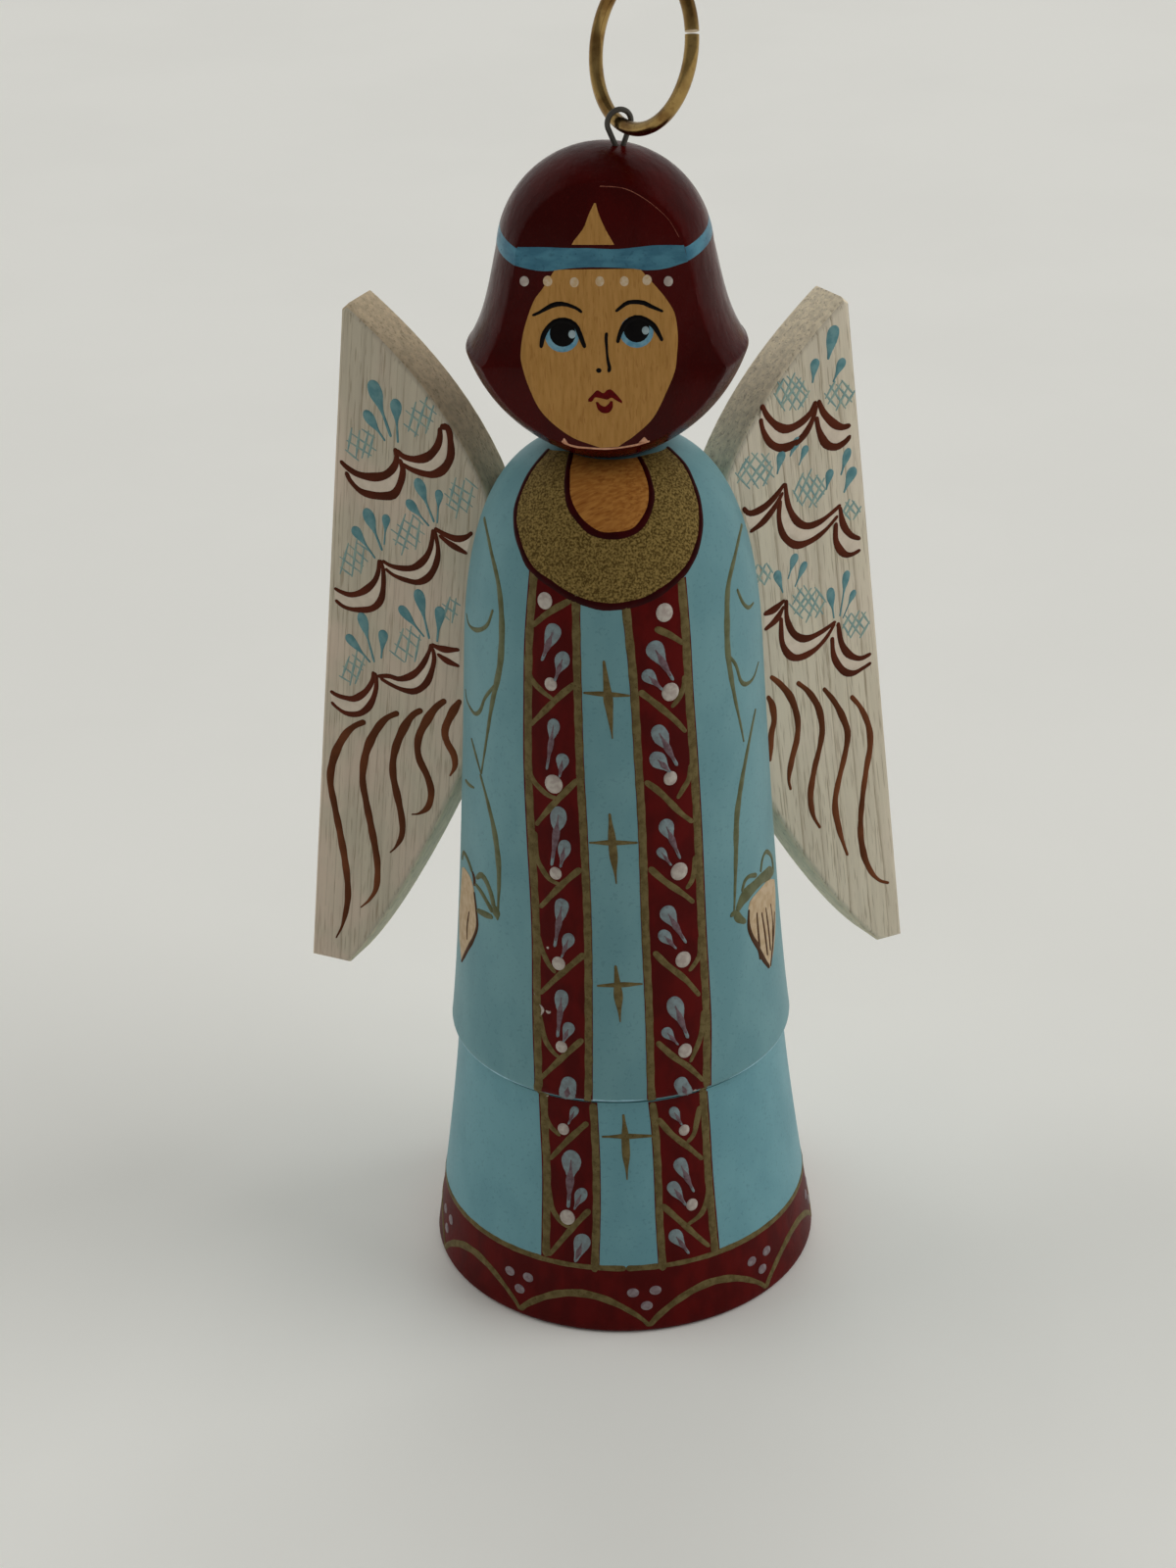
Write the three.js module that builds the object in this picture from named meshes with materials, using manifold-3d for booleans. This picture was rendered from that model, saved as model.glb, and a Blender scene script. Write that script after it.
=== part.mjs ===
// A turned and painted wooden angel ornament with board wings and a brass hanging ring.
// Millimetres, degrees, +Z up, origin at the centre of the flat base, face towards -Y.

import * as THREE from 'three';
import { mergeVertices } from 'three/addons/utils/BufferGeometryUtils.js';
import Module from 'manifold-3d';

// Skirt: the flared lower turning, with a spigot that plugs into the robe
const skirtHeight = 25.2;
const skirtBaseRadius = 19.4;
const skirtTopRadius = 16.25;
const skirtWaistRadius = 17.0;
const skirtWaistDrop = 8.7;
const skirtFootRounding = 0.6;
const spigotRadius = 8.0;
const spigotLength = 11.0;
const spigotChamfer = 0.8;

// Robe: the tall upper turning, rounded at its hem and drawn in to the neck
const robeHeight = 61.85;
const robeHemOverhang = 0.7;
const robeHemRounding = 0.95;
const robeFlareRadius = 15.7;
const robeFlareHeight = 10.7;
const robeChestRadius = 14.1;
const robeChestDrop = 19.2;
const robeUpperArmRadius = 13.6;
const robeUpperArmDrop = 10.2;
const robeShoulderRadius = 11.6;
const robeShoulderDrop = 1.2;

// Neck joint between robe and head
const neckRadius = 4.65;
const dowelRadius = 3.0;
const dowelLength = 24.0;
const dowelChamfer = 0.6;

// Head: a turned bob of hair with a round crown, sliced flat for the face
const headHeight = 27.7;
const jawRadius = 10.8;
const jawHeight = 3.3;
const bobRadius = 12.8;
const bobHeight = 9.8;
const bobLipRounding = 0.5;
const hairRadius = 10.8;
const hairHeight = 13.7;
const crownRadius = 9.76;
const faceDepth = 6.2;
const faceHeight = 16.7;
const faceLean = 4.5;
const faceTurn = 3.0;

// Wings: flat boards, measured along their straight outer edge and across from it
const wingThickness = 5.0;
const wingEdgeRounding = 0.6;
const wingLowerLength = 36.0;
const wingDepth = 20.5;
const wingApexLength = 8.0;
const wingUpperTipWidth = 0.6;
const wingTipSlant = 0.7;
const wingShoulderWidth = 4.5;
const wingShoulderSlope = 2.4;
const wingArmInset = 0.5;
const wingArmRun = 19.3;
const wingTrailRun = 15.0;
const wingFeatherRise = 7.5;
const wingLean = 6.65;
const leftWingSweep = 27.0;
const leftWingLetIn = 4.6;
const leftWingDrop = 26.85;
const leftWingUpperLength = 37.4;
const leftWingTipWidth = 4.55;
const leftWingFeatherWidth = 9.55;
const leftWingTrailInset = 3.1;
const rightWingSweep = 33.0;
const rightWingLetIn = 5.6;
const rightWingDrop = 27.55;
const rightWingUpperLength = 36.95;
const rightWingTipWidth = 3.1;
const rightWingFeatherWidth = 9.15;
const rightWingTrailInset = 1.8;

// Hanger: a wire eye set in the crown and a split ring that swings in it
const eyeWireRadius = 0.25;
const eyeShank = 0.9;
const eyeLegSpacing = 0.74;
const eyeLegDepth = 6.0;
const eyeOffset = 1.45;
const eyeTurn = 25.0;
const ringWireRadius = 0.625;
const ringRadius = 6.95;
const ringTurn = 56.5;
const ringLean = 14.9;
const ringSlip = 10.8;
const ringSplitAngle = 22.0;
const ringSplitWidth = 0.3;

// Clearances
const glueLine = 0.15;
const socketClearance = 0.2;
const slotClearance = 0.2;
const ringPlay = 0.275;
const holeEndClearance = 1.0;
const cutMargin = 5.0;

// Smoothness of the facets
const turnSegments = 48;
const curveSteps = 7;
const roundingSteps = 3;
const crownSteps = 8;
const wingCurveSteps = 12;
const wireSides = 10;
const holeSides = 20;
const eyeSteps = 40;
const ringSteps = 48;

// Heights and fits that follow from the sizes above
const robeBottom = skirtHeight + glueLine;
const robeTop = robeBottom + robeHeight;
const headBottom = robeTop + glueLine;
const headTop = headBottom + headHeight;
const neckMiddle = (robeTop + headBottom) / 2;
const crownCentre = headTop - crownRadius;
const eyeFoot = crownCentre + Math.sqrt(crownRadius ** 2 - eyeOffset ** 2);
const eyeLoopRadius = eyeWireRadius + ringWireRadius + ringPlay;
const eyeStandOff = eyeLoopRadius + eyeShank;
const leftWing = {
  side: -1,
  sweep: leftWingSweep,
  letIn: leftWingLetIn,
  drop: leftWingDrop,
  upperLength: leftWingUpperLength,
  lowerTipWidth: leftWingTipWidth,
  featherWidth: leftWingFeatherWidth,
  trailInset: leftWingTrailInset,
};
const rightWing = {
  side: 1,
  sweep: rightWingSweep,
  letIn: rightWingLetIn,
  drop: rightWingDrop,
  upperLength: rightWingUpperLength,
  lowerTipWidth: rightWingTipWidth,
  featherWidth: rightWingFeatherWidth,
  trailInset: rightWingTrailInset,
};

const wasm = await Module();
wasm.setup();

const radians = THREE.MathUtils.degToRad;
const point = (radius, height) => new THREE.Vector2(radius, height);

// A closed three.js geometry as a solid that can be joined and cut
function solidOf(geometry) {
  const bare = geometry.index ? geometry.toNonIndexed() : geometry.clone();
  bare.deleteAttribute('normal');
  bare.deleteAttribute('uv');
  const merged = mergeVertices(bare, 1e-4);
  const index = merged.index.array;
  const corners = [];
  for (let i = 0; i < index.length; i += 3) {
    const triangle = index.slice(i, i + 3);
    if (new Set(triangle).size === 3) corners.push(...triangle);
  }
  return new wasm.Manifold(new wasm.Mesh({
    numProp: 3,
    vertProperties: new Float32Array(merged.attributes.position.array),
    triVerts: new Uint32Array(corners),
  }));
}

function geometryOf(solid) {
  const mesh = solid.getMesh();
  const geometry = new THREE.BufferGeometry();
  geometry.setAttribute('position', new THREE.BufferAttribute(mesh.vertProperties, 3));
  geometry.setIndex(new THREE.BufferAttribute(mesh.triVerts, 1));
  return geometry;
}

// A turning about +Z from a profile that runs up the outside
function turned(profile) {
  const geometry = new THREE.LatheGeometry(profile, turnSegments);
  return solidOf(geometry.rotateX(Math.PI / 2));
}

// A round in a profile, with angles from the outward direction
function arc(radius, height, size, from, to, steps) {
  const curve = new THREE.EllipseCurve(radius, height, size, size, radians(from), radians(to));
  return curve.getPoints(steps);
}

function skirtSolid() {
  const foot = skirtBaseRadius - skirtFootRounding;
  const spigotTop = skirtHeight + spigotLength;
  const flare = new THREE.QuadraticBezierCurve(
    point(skirtBaseRadius, skirtFootRounding),
    point(skirtWaistRadius, skirtHeight - skirtWaistDrop),
    point(skirtTopRadius, skirtHeight),
  );
  return turned([
    point(0, 0),
    ...arc(foot, skirtFootRounding, skirtFootRounding, -90, 0, roundingSteps),
    ...flare.getPoints(curveSteps).slice(1),
    point(spigotRadius, skirtHeight),
    point(spigotRadius, spigotTop - spigotChamfer),
    point(spigotRadius - spigotChamfer, spigotTop),
    point(0, spigotTop),
  ]);
}

// Outside of the robe from its hem up the side and over the shoulder to the neck
function robeOutside() {
  const hemRadius = skirtTopRadius + robeHemOverhang;
  const hemTop = robeBottom + robeHemRounding;
  const chest = point(robeChestRadius, robeTop - robeChestDrop);
  const side = new THREE.QuadraticBezierCurve(
    point(hemRadius, hemTop),
    point(robeFlareRadius, robeBottom + robeFlareHeight),
    chest,
  );
  const shoulder = new THREE.CubicBezierCurve(
    chest,
    point(robeUpperArmRadius, robeTop - robeUpperArmDrop),
    point(robeShoulderRadius, robeTop - robeShoulderDrop),
    point(neckRadius, robeTop),
  );
  return [
    ...arc(hemRadius - robeHemRounding, hemTop, robeHemRounding, -90, 0, roundingSteps),
    ...side.getPoints(curveSteps).slice(1),
    ...shoulder.getPoints(curveSteps).slice(1),
  ];
}

// Radius of the robe's outside at a height
function robeRadiusAt(height) {
  const outside = robeOutside();
  const above = outside.findIndex((corner) => corner.y > height);
  const [low, high] = [outside[above - 1], outside[above]];
  return THREE.MathUtils.mapLinear(height, low.y, high.y, low.x, high.x);
}

// The slots for the wings are cut with the wings' own outline, grown by the slot's clearance
function robeSolid() {
  const socketRadius = spigotRadius + socketClearance;
  const socketTop = skirtHeight + spigotLength + holeEndClearance;
  const holeRadius = dowelRadius + socketClearance;
  const holeBottom = neckMiddle - dowelLength / 2 - holeEndClearance;
  const body = turned([
    point(0, socketTop),
    point(socketRadius, socketTop),
    point(socketRadius, robeBottom),
    ...robeOutside(),
    point(holeRadius, robeTop),
    point(holeRadius, holeBottom),
    point(0, holeBottom),
  ]);
  return body
    .subtract(wingSolid(leftWing, slotGeometry(leftWing)))
    .subtract(wingSolid(rightWing, slotGeometry(rightWing)));
}

function neckDowelSolid() {
  const bottom = neckMiddle - dowelLength / 2;
  const top = neckMiddle + dowelLength / 2;
  return turned([
    point(0, bottom),
    point(dowelRadius - dowelChamfer, bottom),
    point(dowelRadius, bottom + dowelChamfer),
    point(dowelRadius, top - dowelChamfer),
    point(dowelRadius - dowelChamfer, top),
    point(0, top),
  ]);
}

// The bob swells from the neck to a lip, steps in to the hair and closes in a round crown
function hairSolid() {
  const holeRadius = dowelRadius + socketClearance;
  const holeTop = neckMiddle + dowelLength / 2 + holeEndClearance;
  const lip = headBottom + bobHeight - bobLipRounding;
  const jaw = new THREE.QuadraticBezierCurve(
    point(neckRadius, headBottom),
    point(jawRadius, headBottom + jawHeight),
    point(bobRadius, lip),
  );
  return turned([
    point(0, holeTop),
    point(holeRadius, holeTop),
    point(holeRadius, headBottom),
    ...jaw.getPoints(curveSteps),
    ...arc(bobRadius - bobLipRounding, lip, bobLipRounding, 0, 60, roundingSteps).slice(1),
    point(hairRadius, headBottom + hairHeight),
    ...arc(0, crownCentre, crownRadius, 5, 85, crownSteps),
    point(0, headTop),
  ]);
}

// The face is one flat slice off the hair, leaning forward at the chin and turned a little
function headSolid() {
  const span = headHeight + bobRadius + cutMargin;
  const slice = new THREE.BoxGeometry(2 * span, span, 2 * span);
  slice.translate(0, -span / 2 - faceDepth, 0);
  slice.rotateX(-radians(faceLean));
  slice.rotateZ(-radians(faceTurn));
  slice.translate(0, 0, headBottom + faceHeight);
  const eyeHoleRadius = eyeLegSpacing / 2 + eyeWireRadius + socketClearance;
  const eyeHoleDepth = eyeLegDepth + socketClearance + cutMargin;
  const eyeHole = new THREE.CylinderGeometry(eyeHoleRadius, eyeHoleRadius, eyeHoleDepth, holeSides);
  eyeHole.rotateX(Math.PI / 2);
  eyeHole.translate(eyeOffset, 0, eyeFoot + cutMargin - eyeHoleDepth / 2);
  return hairSolid().subtract(solidOf(slice)).subtract(solidOf(eyeHole));
}

// Outline of a wing: x is across from the outer edge, y runs up along it
function wingOutline(wing) {
  const outline = new THREE.Shape();
  const lowerTip = wingTipSlant - wingLowerLength;
  outline.moveTo(0, -wingLowerLength);
  outline.lineTo(wing.lowerTipWidth, lowerTip);
  outline.bezierCurveTo(
    wing.featherWidth, lowerTip + wingFeatherRise,
    wingDepth - wing.trailInset, wingApexLength - wingTrailRun,
    wingDepth, wingApexLength,
  );
  outline.bezierCurveTo(
    wingDepth - wingArmInset, wingApexLength + wingArmRun,
    wingShoulderWidth, wing.upperLength - wingShoulderSlope,
    wingUpperTipWidth, wing.upperLength,
  );
  outline.lineTo(0, wing.upperLength - wingTipSlant);
  outline.closePath();
  return outline;
}

// A wing board with softened edges, centred on its thickness
function boardGeometry(wing) {
  const geometry = new THREE.ExtrudeGeometry(wingOutline(wing), {
    depth: wingThickness - 2 * wingEdgeRounding,
    bevelThickness: wingEdgeRounding,
    bevelSize: wingEdgeRounding,
    bevelOffset: -wingEdgeRounding,
    bevelSegments: roundingSteps,
    curveSegments: wingCurveSteps,
  });
  return geometry.translate(0, 0, wingEdgeRounding - wingThickness / 2);
}

// The square-edged slot that a wing board fits
function slotGeometry(wing) {
  const geometry = new THREE.ExtrudeGeometry(wingOutline(wing), {
    depth: wingThickness + slotClearance,
    bevelThickness: slotClearance / 2,
    bevelSize: slotClearance,
    bevelSegments: 1,
    curveSegments: wingCurveSteps,
  });
  return geometry.translate(0, 0, -(wingThickness + slotClearance) / 2);
}

// A board or slot stood in its place: its innermost point lies let in below the robe's side
function wingSolid(wing, geometry) {
  const lean = radians(wingLean);
  const middle = robeTop - wing.drop;
  const apexReach = wingDepth * Math.cos(lean) + wingApexLength * Math.sin(lean);
  const apexRise = wingApexLength * Math.cos(lean) - wingDepth * Math.sin(lean);
  const reach = robeRadiusAt(middle + apexRise) - wing.letIn + apexReach;
  const standing = new THREE.Matrix4().makeBasis(
    new THREE.Vector3(-Math.cos(lean), 0, -Math.sin(lean)),
    new THREE.Vector3(-Math.sin(lean), 0, Math.cos(lean)),
    new THREE.Vector3(0, 1, 0),
  );
  geometry.applyMatrix4(standing);
  geometry.translate(reach, 0, middle);
  const sweep = radians(wing.sweep);
  geometry.rotateZ(wing.side > 0 ? sweep : Math.PI - sweep);
  return solidOf(geometry);
}

// Wire of the eye: up one leg, over the loop and down the other leg, in the plane y = 0
class EyeWire extends THREE.Curve {
  constructor() {
    super();
    const half = eyeLegSpacing / 2;
    const reach = Math.hypot(half, eyeStandOff);
    this.foot = new THREE.Vector3(half, 0, eyeFoot);
    this.leg = eyeLegDepth;
    this.slope = Math.sqrt(reach ** 2 - eyeLoopRadius ** 2);
    this.meets = Math.acos(eyeLoopRadius / reach) - Math.atan2(eyeStandOff, half);
    this.halfLength = this.leg + this.slope + eyeLoopRadius * (Math.PI / 2 - this.meets);
  }

  loopPoint(angle) {
    const rise = eyeStandOff + eyeLoopRadius * Math.sin(angle);
    return new THREE.Vector3(eyeLoopRadius * Math.cos(angle), 0, eyeFoot + rise);
  }

  getPoint(t, target = new THREE.Vector3()) {
    const along = (1 - Math.abs(2 * t - 1)) * this.halfLength;
    const pastLeg = along - this.leg;
    if (pastLeg < 0) {
      target.set(this.foot.x, 0, eyeFoot + pastLeg);
    } else if (pastLeg < this.slope) {
      target.lerpVectors(this.foot, this.loopPoint(this.meets), pastLeg / this.slope);
    } else {
      target.copy(this.loopPoint(this.meets + (pastLeg - this.slope) / eyeLoopRadius));
    }
    target.x *= t < 0.5 ? 1 : -1;
    return target;
  }
}

// Wire of the ring: a full turn less the split, in the ring's own leaning plane
class RingWire extends THREE.Curve {
  constructor() {
    super();
    const turn = radians(ringTurn);
    const lean = radians(ringLean);
    const slip = radians(ringSlip);
    this.across = new THREE.Vector3(Math.cos(turn), -Math.sin(turn), 0);
    this.up = new THREE.Vector3(
      Math.sin(turn) * Math.sin(lean),
      Math.cos(turn) * Math.sin(lean),
      Math.cos(lean),
    );
    this.centre = new THREE.Vector3(eyeOffset, 0, eyeFoot + eyeStandOff);
    this.centre.addScaledVector(this.across, ringRadius * Math.sin(slip));
    this.centre.addScaledVector(this.up, ringRadius * Math.cos(slip));
    this.split = ringSplitWidth / ringRadius;
  }

  getPoint(t, target = new THREE.Vector3()) {
    const turned = this.split / 2 + t * (2 * Math.PI - this.split);
    const angle = radians(ringSplitAngle) + turned;
    target.copy(this.centre);
    target.addScaledVector(this.across, ringRadius * Math.cos(angle));
    target.addScaledVector(this.up, ringRadius * Math.sin(angle));
    return target;
  }
}

// A round wire along a path
function wireGeometry(radius, extrudePath, steps) {
  const section = new THREE.Shape();
  section.absarc(0, 0, radius, 0, 2 * Math.PI);
  return new THREE.ExtrudeGeometry(section, { extrudePath, steps, curveSegments: wireSides / 2 });
}

function hangerEyeSolid() {
  const geometry = wireGeometry(eyeWireRadius, new EyeWire(), eyeSteps);
  geometry.rotateZ(radians(eyeTurn));
  geometry.translate(eyeOffset, 0, 0);
  return solidOf(geometry);
}

function hangerRingSolid() {
  return solidOf(wireGeometry(ringWireRadius, new RingWire(), ringSteps));
}

const robeBlue = new THREE.MeshStandardMaterial({ color: 0x6ea0b4, roughness: 0.5, metalness: 0.0 });
const hairMaroon = new THREE.MeshStandardMaterial({ color: 0x5a1418, roughness: 0.25, metalness: 0.0 });
const paleWood = new THREE.MeshStandardMaterial({ color: 0xcdbfae, roughness: 0.65, metalness: 0.0 });
const bareWood = new THREE.MeshStandardMaterial({ color: 0xc89a6a, roughness: 0.7, metalness: 0.0 });
const blackWire = new THREE.MeshStandardMaterial({ color: 0x15130f, roughness: 0.45, metalness: 0.6 });
const brass = new THREE.MeshStandardMaterial({ color: 0xa98a4a, roughness: 0.3, metalness: 1.0 });

const angel = new THREE.Group();

function addPiece(name, solid, material) {
  const mesh = new THREE.Mesh(geometryOf(solid), material);
  mesh.name = name;
  angel.add(mesh);
}

addPiece('skirt', skirtSolid(), robeBlue);
addPiece('robe', robeSolid(), robeBlue);
addPiece('neck_dowel', neckDowelSolid(), bareWood);
addPiece('head', headSolid(), hairMaroon);
addPiece('wing_left', wingSolid(leftWing, boardGeometry(leftWing)), paleWood);
addPiece('wing_right', wingSolid(rightWing, boardGeometry(rightWing)), paleWood);
addPiece('hanger_eye', hangerEyeSolid(), blackWire);
addPiece('hanger_ring', hangerRingSolid(), brass);

export default angel;
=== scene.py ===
"""Turned wooden angel ornament with painted robe, board wings and a brass hanging ring.

Sizes are in millimetres in the object's own frame: +Z up, -Y towards the viewer, the base at z = 0.
Painted details are placed by named pixels of a 1200 x 1600 view and laid on the surface seen there.
"""
import logging
import math
import random
from abc import ABC, abstractmethod
from bisect import bisect_right
from dataclasses import dataclass
from enum import Enum
from pathlib import Path as FilePath
from typing import ClassVar, NamedTuple

import bpy
from mathutils import Matrix, Vector


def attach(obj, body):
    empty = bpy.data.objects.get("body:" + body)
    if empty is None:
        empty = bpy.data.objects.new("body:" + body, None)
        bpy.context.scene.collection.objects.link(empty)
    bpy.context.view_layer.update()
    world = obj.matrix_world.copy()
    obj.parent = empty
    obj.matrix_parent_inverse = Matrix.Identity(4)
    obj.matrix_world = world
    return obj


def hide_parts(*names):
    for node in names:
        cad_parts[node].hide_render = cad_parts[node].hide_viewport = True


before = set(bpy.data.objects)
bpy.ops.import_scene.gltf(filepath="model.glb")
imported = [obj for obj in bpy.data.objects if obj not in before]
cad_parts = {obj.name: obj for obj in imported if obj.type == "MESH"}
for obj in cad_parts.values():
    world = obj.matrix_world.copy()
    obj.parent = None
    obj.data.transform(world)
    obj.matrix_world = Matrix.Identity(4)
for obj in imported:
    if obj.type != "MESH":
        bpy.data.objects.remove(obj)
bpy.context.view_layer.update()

MM = 0.001
LOG = logging.getLogger("angel")

Pair = tuple[float, float]
Triple = tuple[float, float, float]
Pixel = Pair
Path = tuple[Pixel, ...]
Outline = list[Pair]
Colour = tuple[int, int, int]
Widths = tuple[float, ...]


class Body(Enum):
    """The moving bodies of the frame."""

    FIGURE = "figure"
    RING = "ring"


class Slot(Enum):
    """Names of the record's material slots."""

    ROBE = "robe_paint"
    HAIR = "hair_paint"
    WING = "whitewashed_wood"
    WIRE = "black_wire"
    BRASS = "brass"


def linear(colour: Colour) -> tuple[float, float, float, float]:
    """Turns a display colour into the linear one that a shader takes.

    Args:
        colour: Red, green and blue from 0 to 255.

    Returns:
        Linear red, green, blue and full alpha.
    """
    parts = [part / 255 for part in colour]
    bright = [
        part / 12.92 if part <= 0.04045 else ((part + 0.055) / 1.055) ** 2.4
        for part in parts
    ]
    return bright[0], bright[1], bright[2], 1.0


class Value:
    """A number in a shader, on which plain sums add Math nodes."""

    def __init__(self, sheet: "Sheet", socket: bpy.types.NodeSocket) -> None:
        """Keeps the sheet and the socket that gives the number."""
        self.sheet = sheet
        self.socket = socket

    def _math(self, operation: str, first: "Value | float", second: "Value | float") -> "Value":
        """Adds one Math node and returns its result."""
        node = self.sheet.node("ShaderNodeMath", {"operation": operation}, {0: first, 1: second})
        return Value(self.sheet, node.outputs[0])

    def __add__(self, other: "Value | float") -> "Value":
        """Sum."""
        return self._math("ADD", self, other)

    def __radd__(self, other: "Value | float") -> "Value":
        """Sum with a number in front."""
        return self._math("ADD", other, self)

    def __sub__(self, other: "Value | float") -> "Value":
        """Difference."""
        return self._math("SUBTRACT", self, other)

    def __rsub__(self, other: "Value | float") -> "Value":
        """Difference with a number in front."""
        return self._math("SUBTRACT", other, self)

    def __mul__(self, other: "Value | float") -> "Value":
        """Product."""
        return self._math("MULTIPLY", self, other)

    def __rmul__(self, other: "Value | float") -> "Value":
        """Product with a number in front."""
        return self._math("MULTIPLY", other, self)

    def within(self, low: float, high: float) -> "Value":
        """Rises smoothly from 0 at the low number to 1 at the high one.

        Args:
            low: Where the rise starts.
            high: Where the rise ends.

        Returns:
            The eased share.
        """
        node = self.sheet.node(
            "ShaderNodeMapRange",
            {"interpolation_type": "SMOOTHSTEP"},
            {"Value": self, "From Min": low, "From Max": high},
        )
        return Value(self.sheet, node.outputs[0])


class Sheet:
    """The node sheet of a material or of the studio's surroundings."""

    def __init__(self, tree: bpy.types.NodeTree, shader: str = "Principled BSDF") -> None:
        """Keeps a node tree and the shader in it that takes the values."""
        self.tree = tree
        self.shader = tree.nodes[shader]

    def node(
        self, kind: str, settings: dict | None = None, inputs: dict | None = None,
    ) -> bpy.types.Node:
        """Adds a node.

        Args:
            kind: The node's type.
            settings: Properties of the node, set first.
            inputs: Numbers, colours or links for its sockets.

        Returns:
            The new node.
        """
        made = self.tree.nodes.new(kind)
        for key, value in (settings or {}).items():
            setattr(made, key, value)
        for key, value in (inputs or {}).items():
            self.feed(made.inputs[key], value)
        return made

    def feed(self, socket: bpy.types.NodeSocket, value: object) -> None:
        """Links a value to a socket, or sets it there when it is a plain number or colour."""
        if isinstance(value, Value):
            value = value.socket
        if isinstance(value, bpy.types.NodeSocket):
            self.tree.links.new(value, socket)
        else:
            socket.default_value = value

    def shade(self, **inputs: object) -> None:
        """Feeds the shader's sockets, named with underscores for spaces."""
        for key, value in inputs.items():
            self.feed(self.shader.inputs[key.replace("_", " ").title()], value)

    def polish(self, level: float) -> None:
        """Sets how strongly the shader mirrors."""
        self.shader.inputs["Specular IOR Level"].default_value = level

    def place(self, turn: Triple = (0.0, 0.0, 0.0)) -> bpy.types.NodeSocket:
        """Place on the piece in its own frame.

        Args:
            turn: Angles in radians that turn a pattern to the piece.

        Returns:
            The place as a vector.
        """
        source = self.node("ShaderNodeTexCoord").outputs["Object"]
        return self.node("ShaderNodeMapping", None, {"Vector": source, "Rotation": turn}).outputs[0]

    def noise(
        self,
        place: bpy.types.NodeSocket,
        size: float,
        stretch: Triple = (1.0, 1.0, 1.0),
        detail: float = 3.0,
    ) -> Value:
        """Cloudy variation.

        Args:
            place: Where on the piece.
            size: Size of a cloud in millimetres.
            stretch: How many times longer it is in each direction.
            detail: How many finer layers it has.

        Returns:
            A number around one half.
        """
        scale = tuple(1 / (size * MM * longer) for longer in stretch)
        spread = self.node("ShaderNodeVectorMath", {"operation": "MULTIPLY"}, {0: place, 1: scale})
        cloud = self.node(
            "ShaderNodeTexNoise", None,
            {"Vector": spread.outputs[0], "Scale": 1.0, "Detail": detail},
        )
        return Value(self, cloud.outputs[0])

    def mix(self, share: Value | float, first: object, second: object) -> bpy.types.NodeSocket:
        """Mixes two colours.

        Args:
            share: How much of the second there is.
            first: A linear colour or a colour socket.
            second: A linear colour or a colour socket.

        Returns:
            The mixed colour.
        """
        blend = self.node("ShaderNodeMix", {"data_type": "RGBA"}, {0: share, 6: first, 7: second})
        return blend.outputs[2]

    def relief(self, height: Value, depth: float) -> bpy.types.NodeSocket:
        """Fine relief of a surface.

        Args:
            height: The relief's height from 0 to 1.
            depth: Its full depth in millimetres.

        Returns:
            The bent normal.
        """
        bump = self.node(
            "ShaderNodeBump", None, {"Strength": 1.0, "Distance": depth * MM, "Height": height},
        )
        return bump.outputs[0]


@dataclass(frozen=True)
class Finish(ABC):
    """A surface finish, made into a material once."""

    name: str

    @abstractmethod
    def make(self, sheet: Sheet) -> None:
        """Lays out the finish on the sheet of its material."""

    def material(self) -> bpy.types.Material:
        """The finish's material, built on first use."""
        made = bpy.data.materials.get(self.name)
        if made is None:
            made = bpy.data.materials.new(self.name)
            made.use_nodes = True
            self.make(Sheet(made.node_tree))
        return made


@dataclass(frozen=True)
class Paint(Finish):
    """Brush paint or metal of two tones that cloud into each other, with specks and fine relief."""

    tone: Colour
    second: Colour
    cloud: float = 2.0
    stretch: Triple = (1.0, 1.0, 1.0)
    speck: Colour = (60, 60, 60)
    speck_size: float = 0.35
    speck_share: float = 0.0
    roughness: float = 0.5
    rough_change: float = 0.16
    metal: float = 0.0
    gloss: float = 0.12
    grain: float = 0.3
    depth: float = 0.01
    CLOUD_EDGE: ClassVar[Pair] = (0.36, 0.64)
    SPECK_EDGE: ClassVar[Pair] = (0.6, 0.72)

    def make(self, sheet: Sheet) -> None:
        """Lays out the finish on the sheet of its material."""
        place = sheet.place()
        cloud = sheet.noise(place, self.cloud, self.stretch, detail=4.0)
        fine = sheet.noise(place, self.grain, self.stretch, detail=2.0)
        clouding = cloud.within(*self.CLOUD_EDGE)
        colour = sheet.mix(clouding, linear(self.tone), linear(self.second))
        if self.speck_share > 0:
            specks = sheet.noise(place, self.speck_size, detail=1.0).within(*self.SPECK_EDGE)
            colour = sheet.mix(specks * self.speck_share, colour, linear(self.speck))
        sheet.shade(
            base_color=colour,
            roughness=self.roughness + (fine - 0.5) * self.rough_change,
            metallic=self.metal,
            normal=sheet.relief(fine, self.depth),
        )
        sheet.polish(self.gloss)


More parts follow.
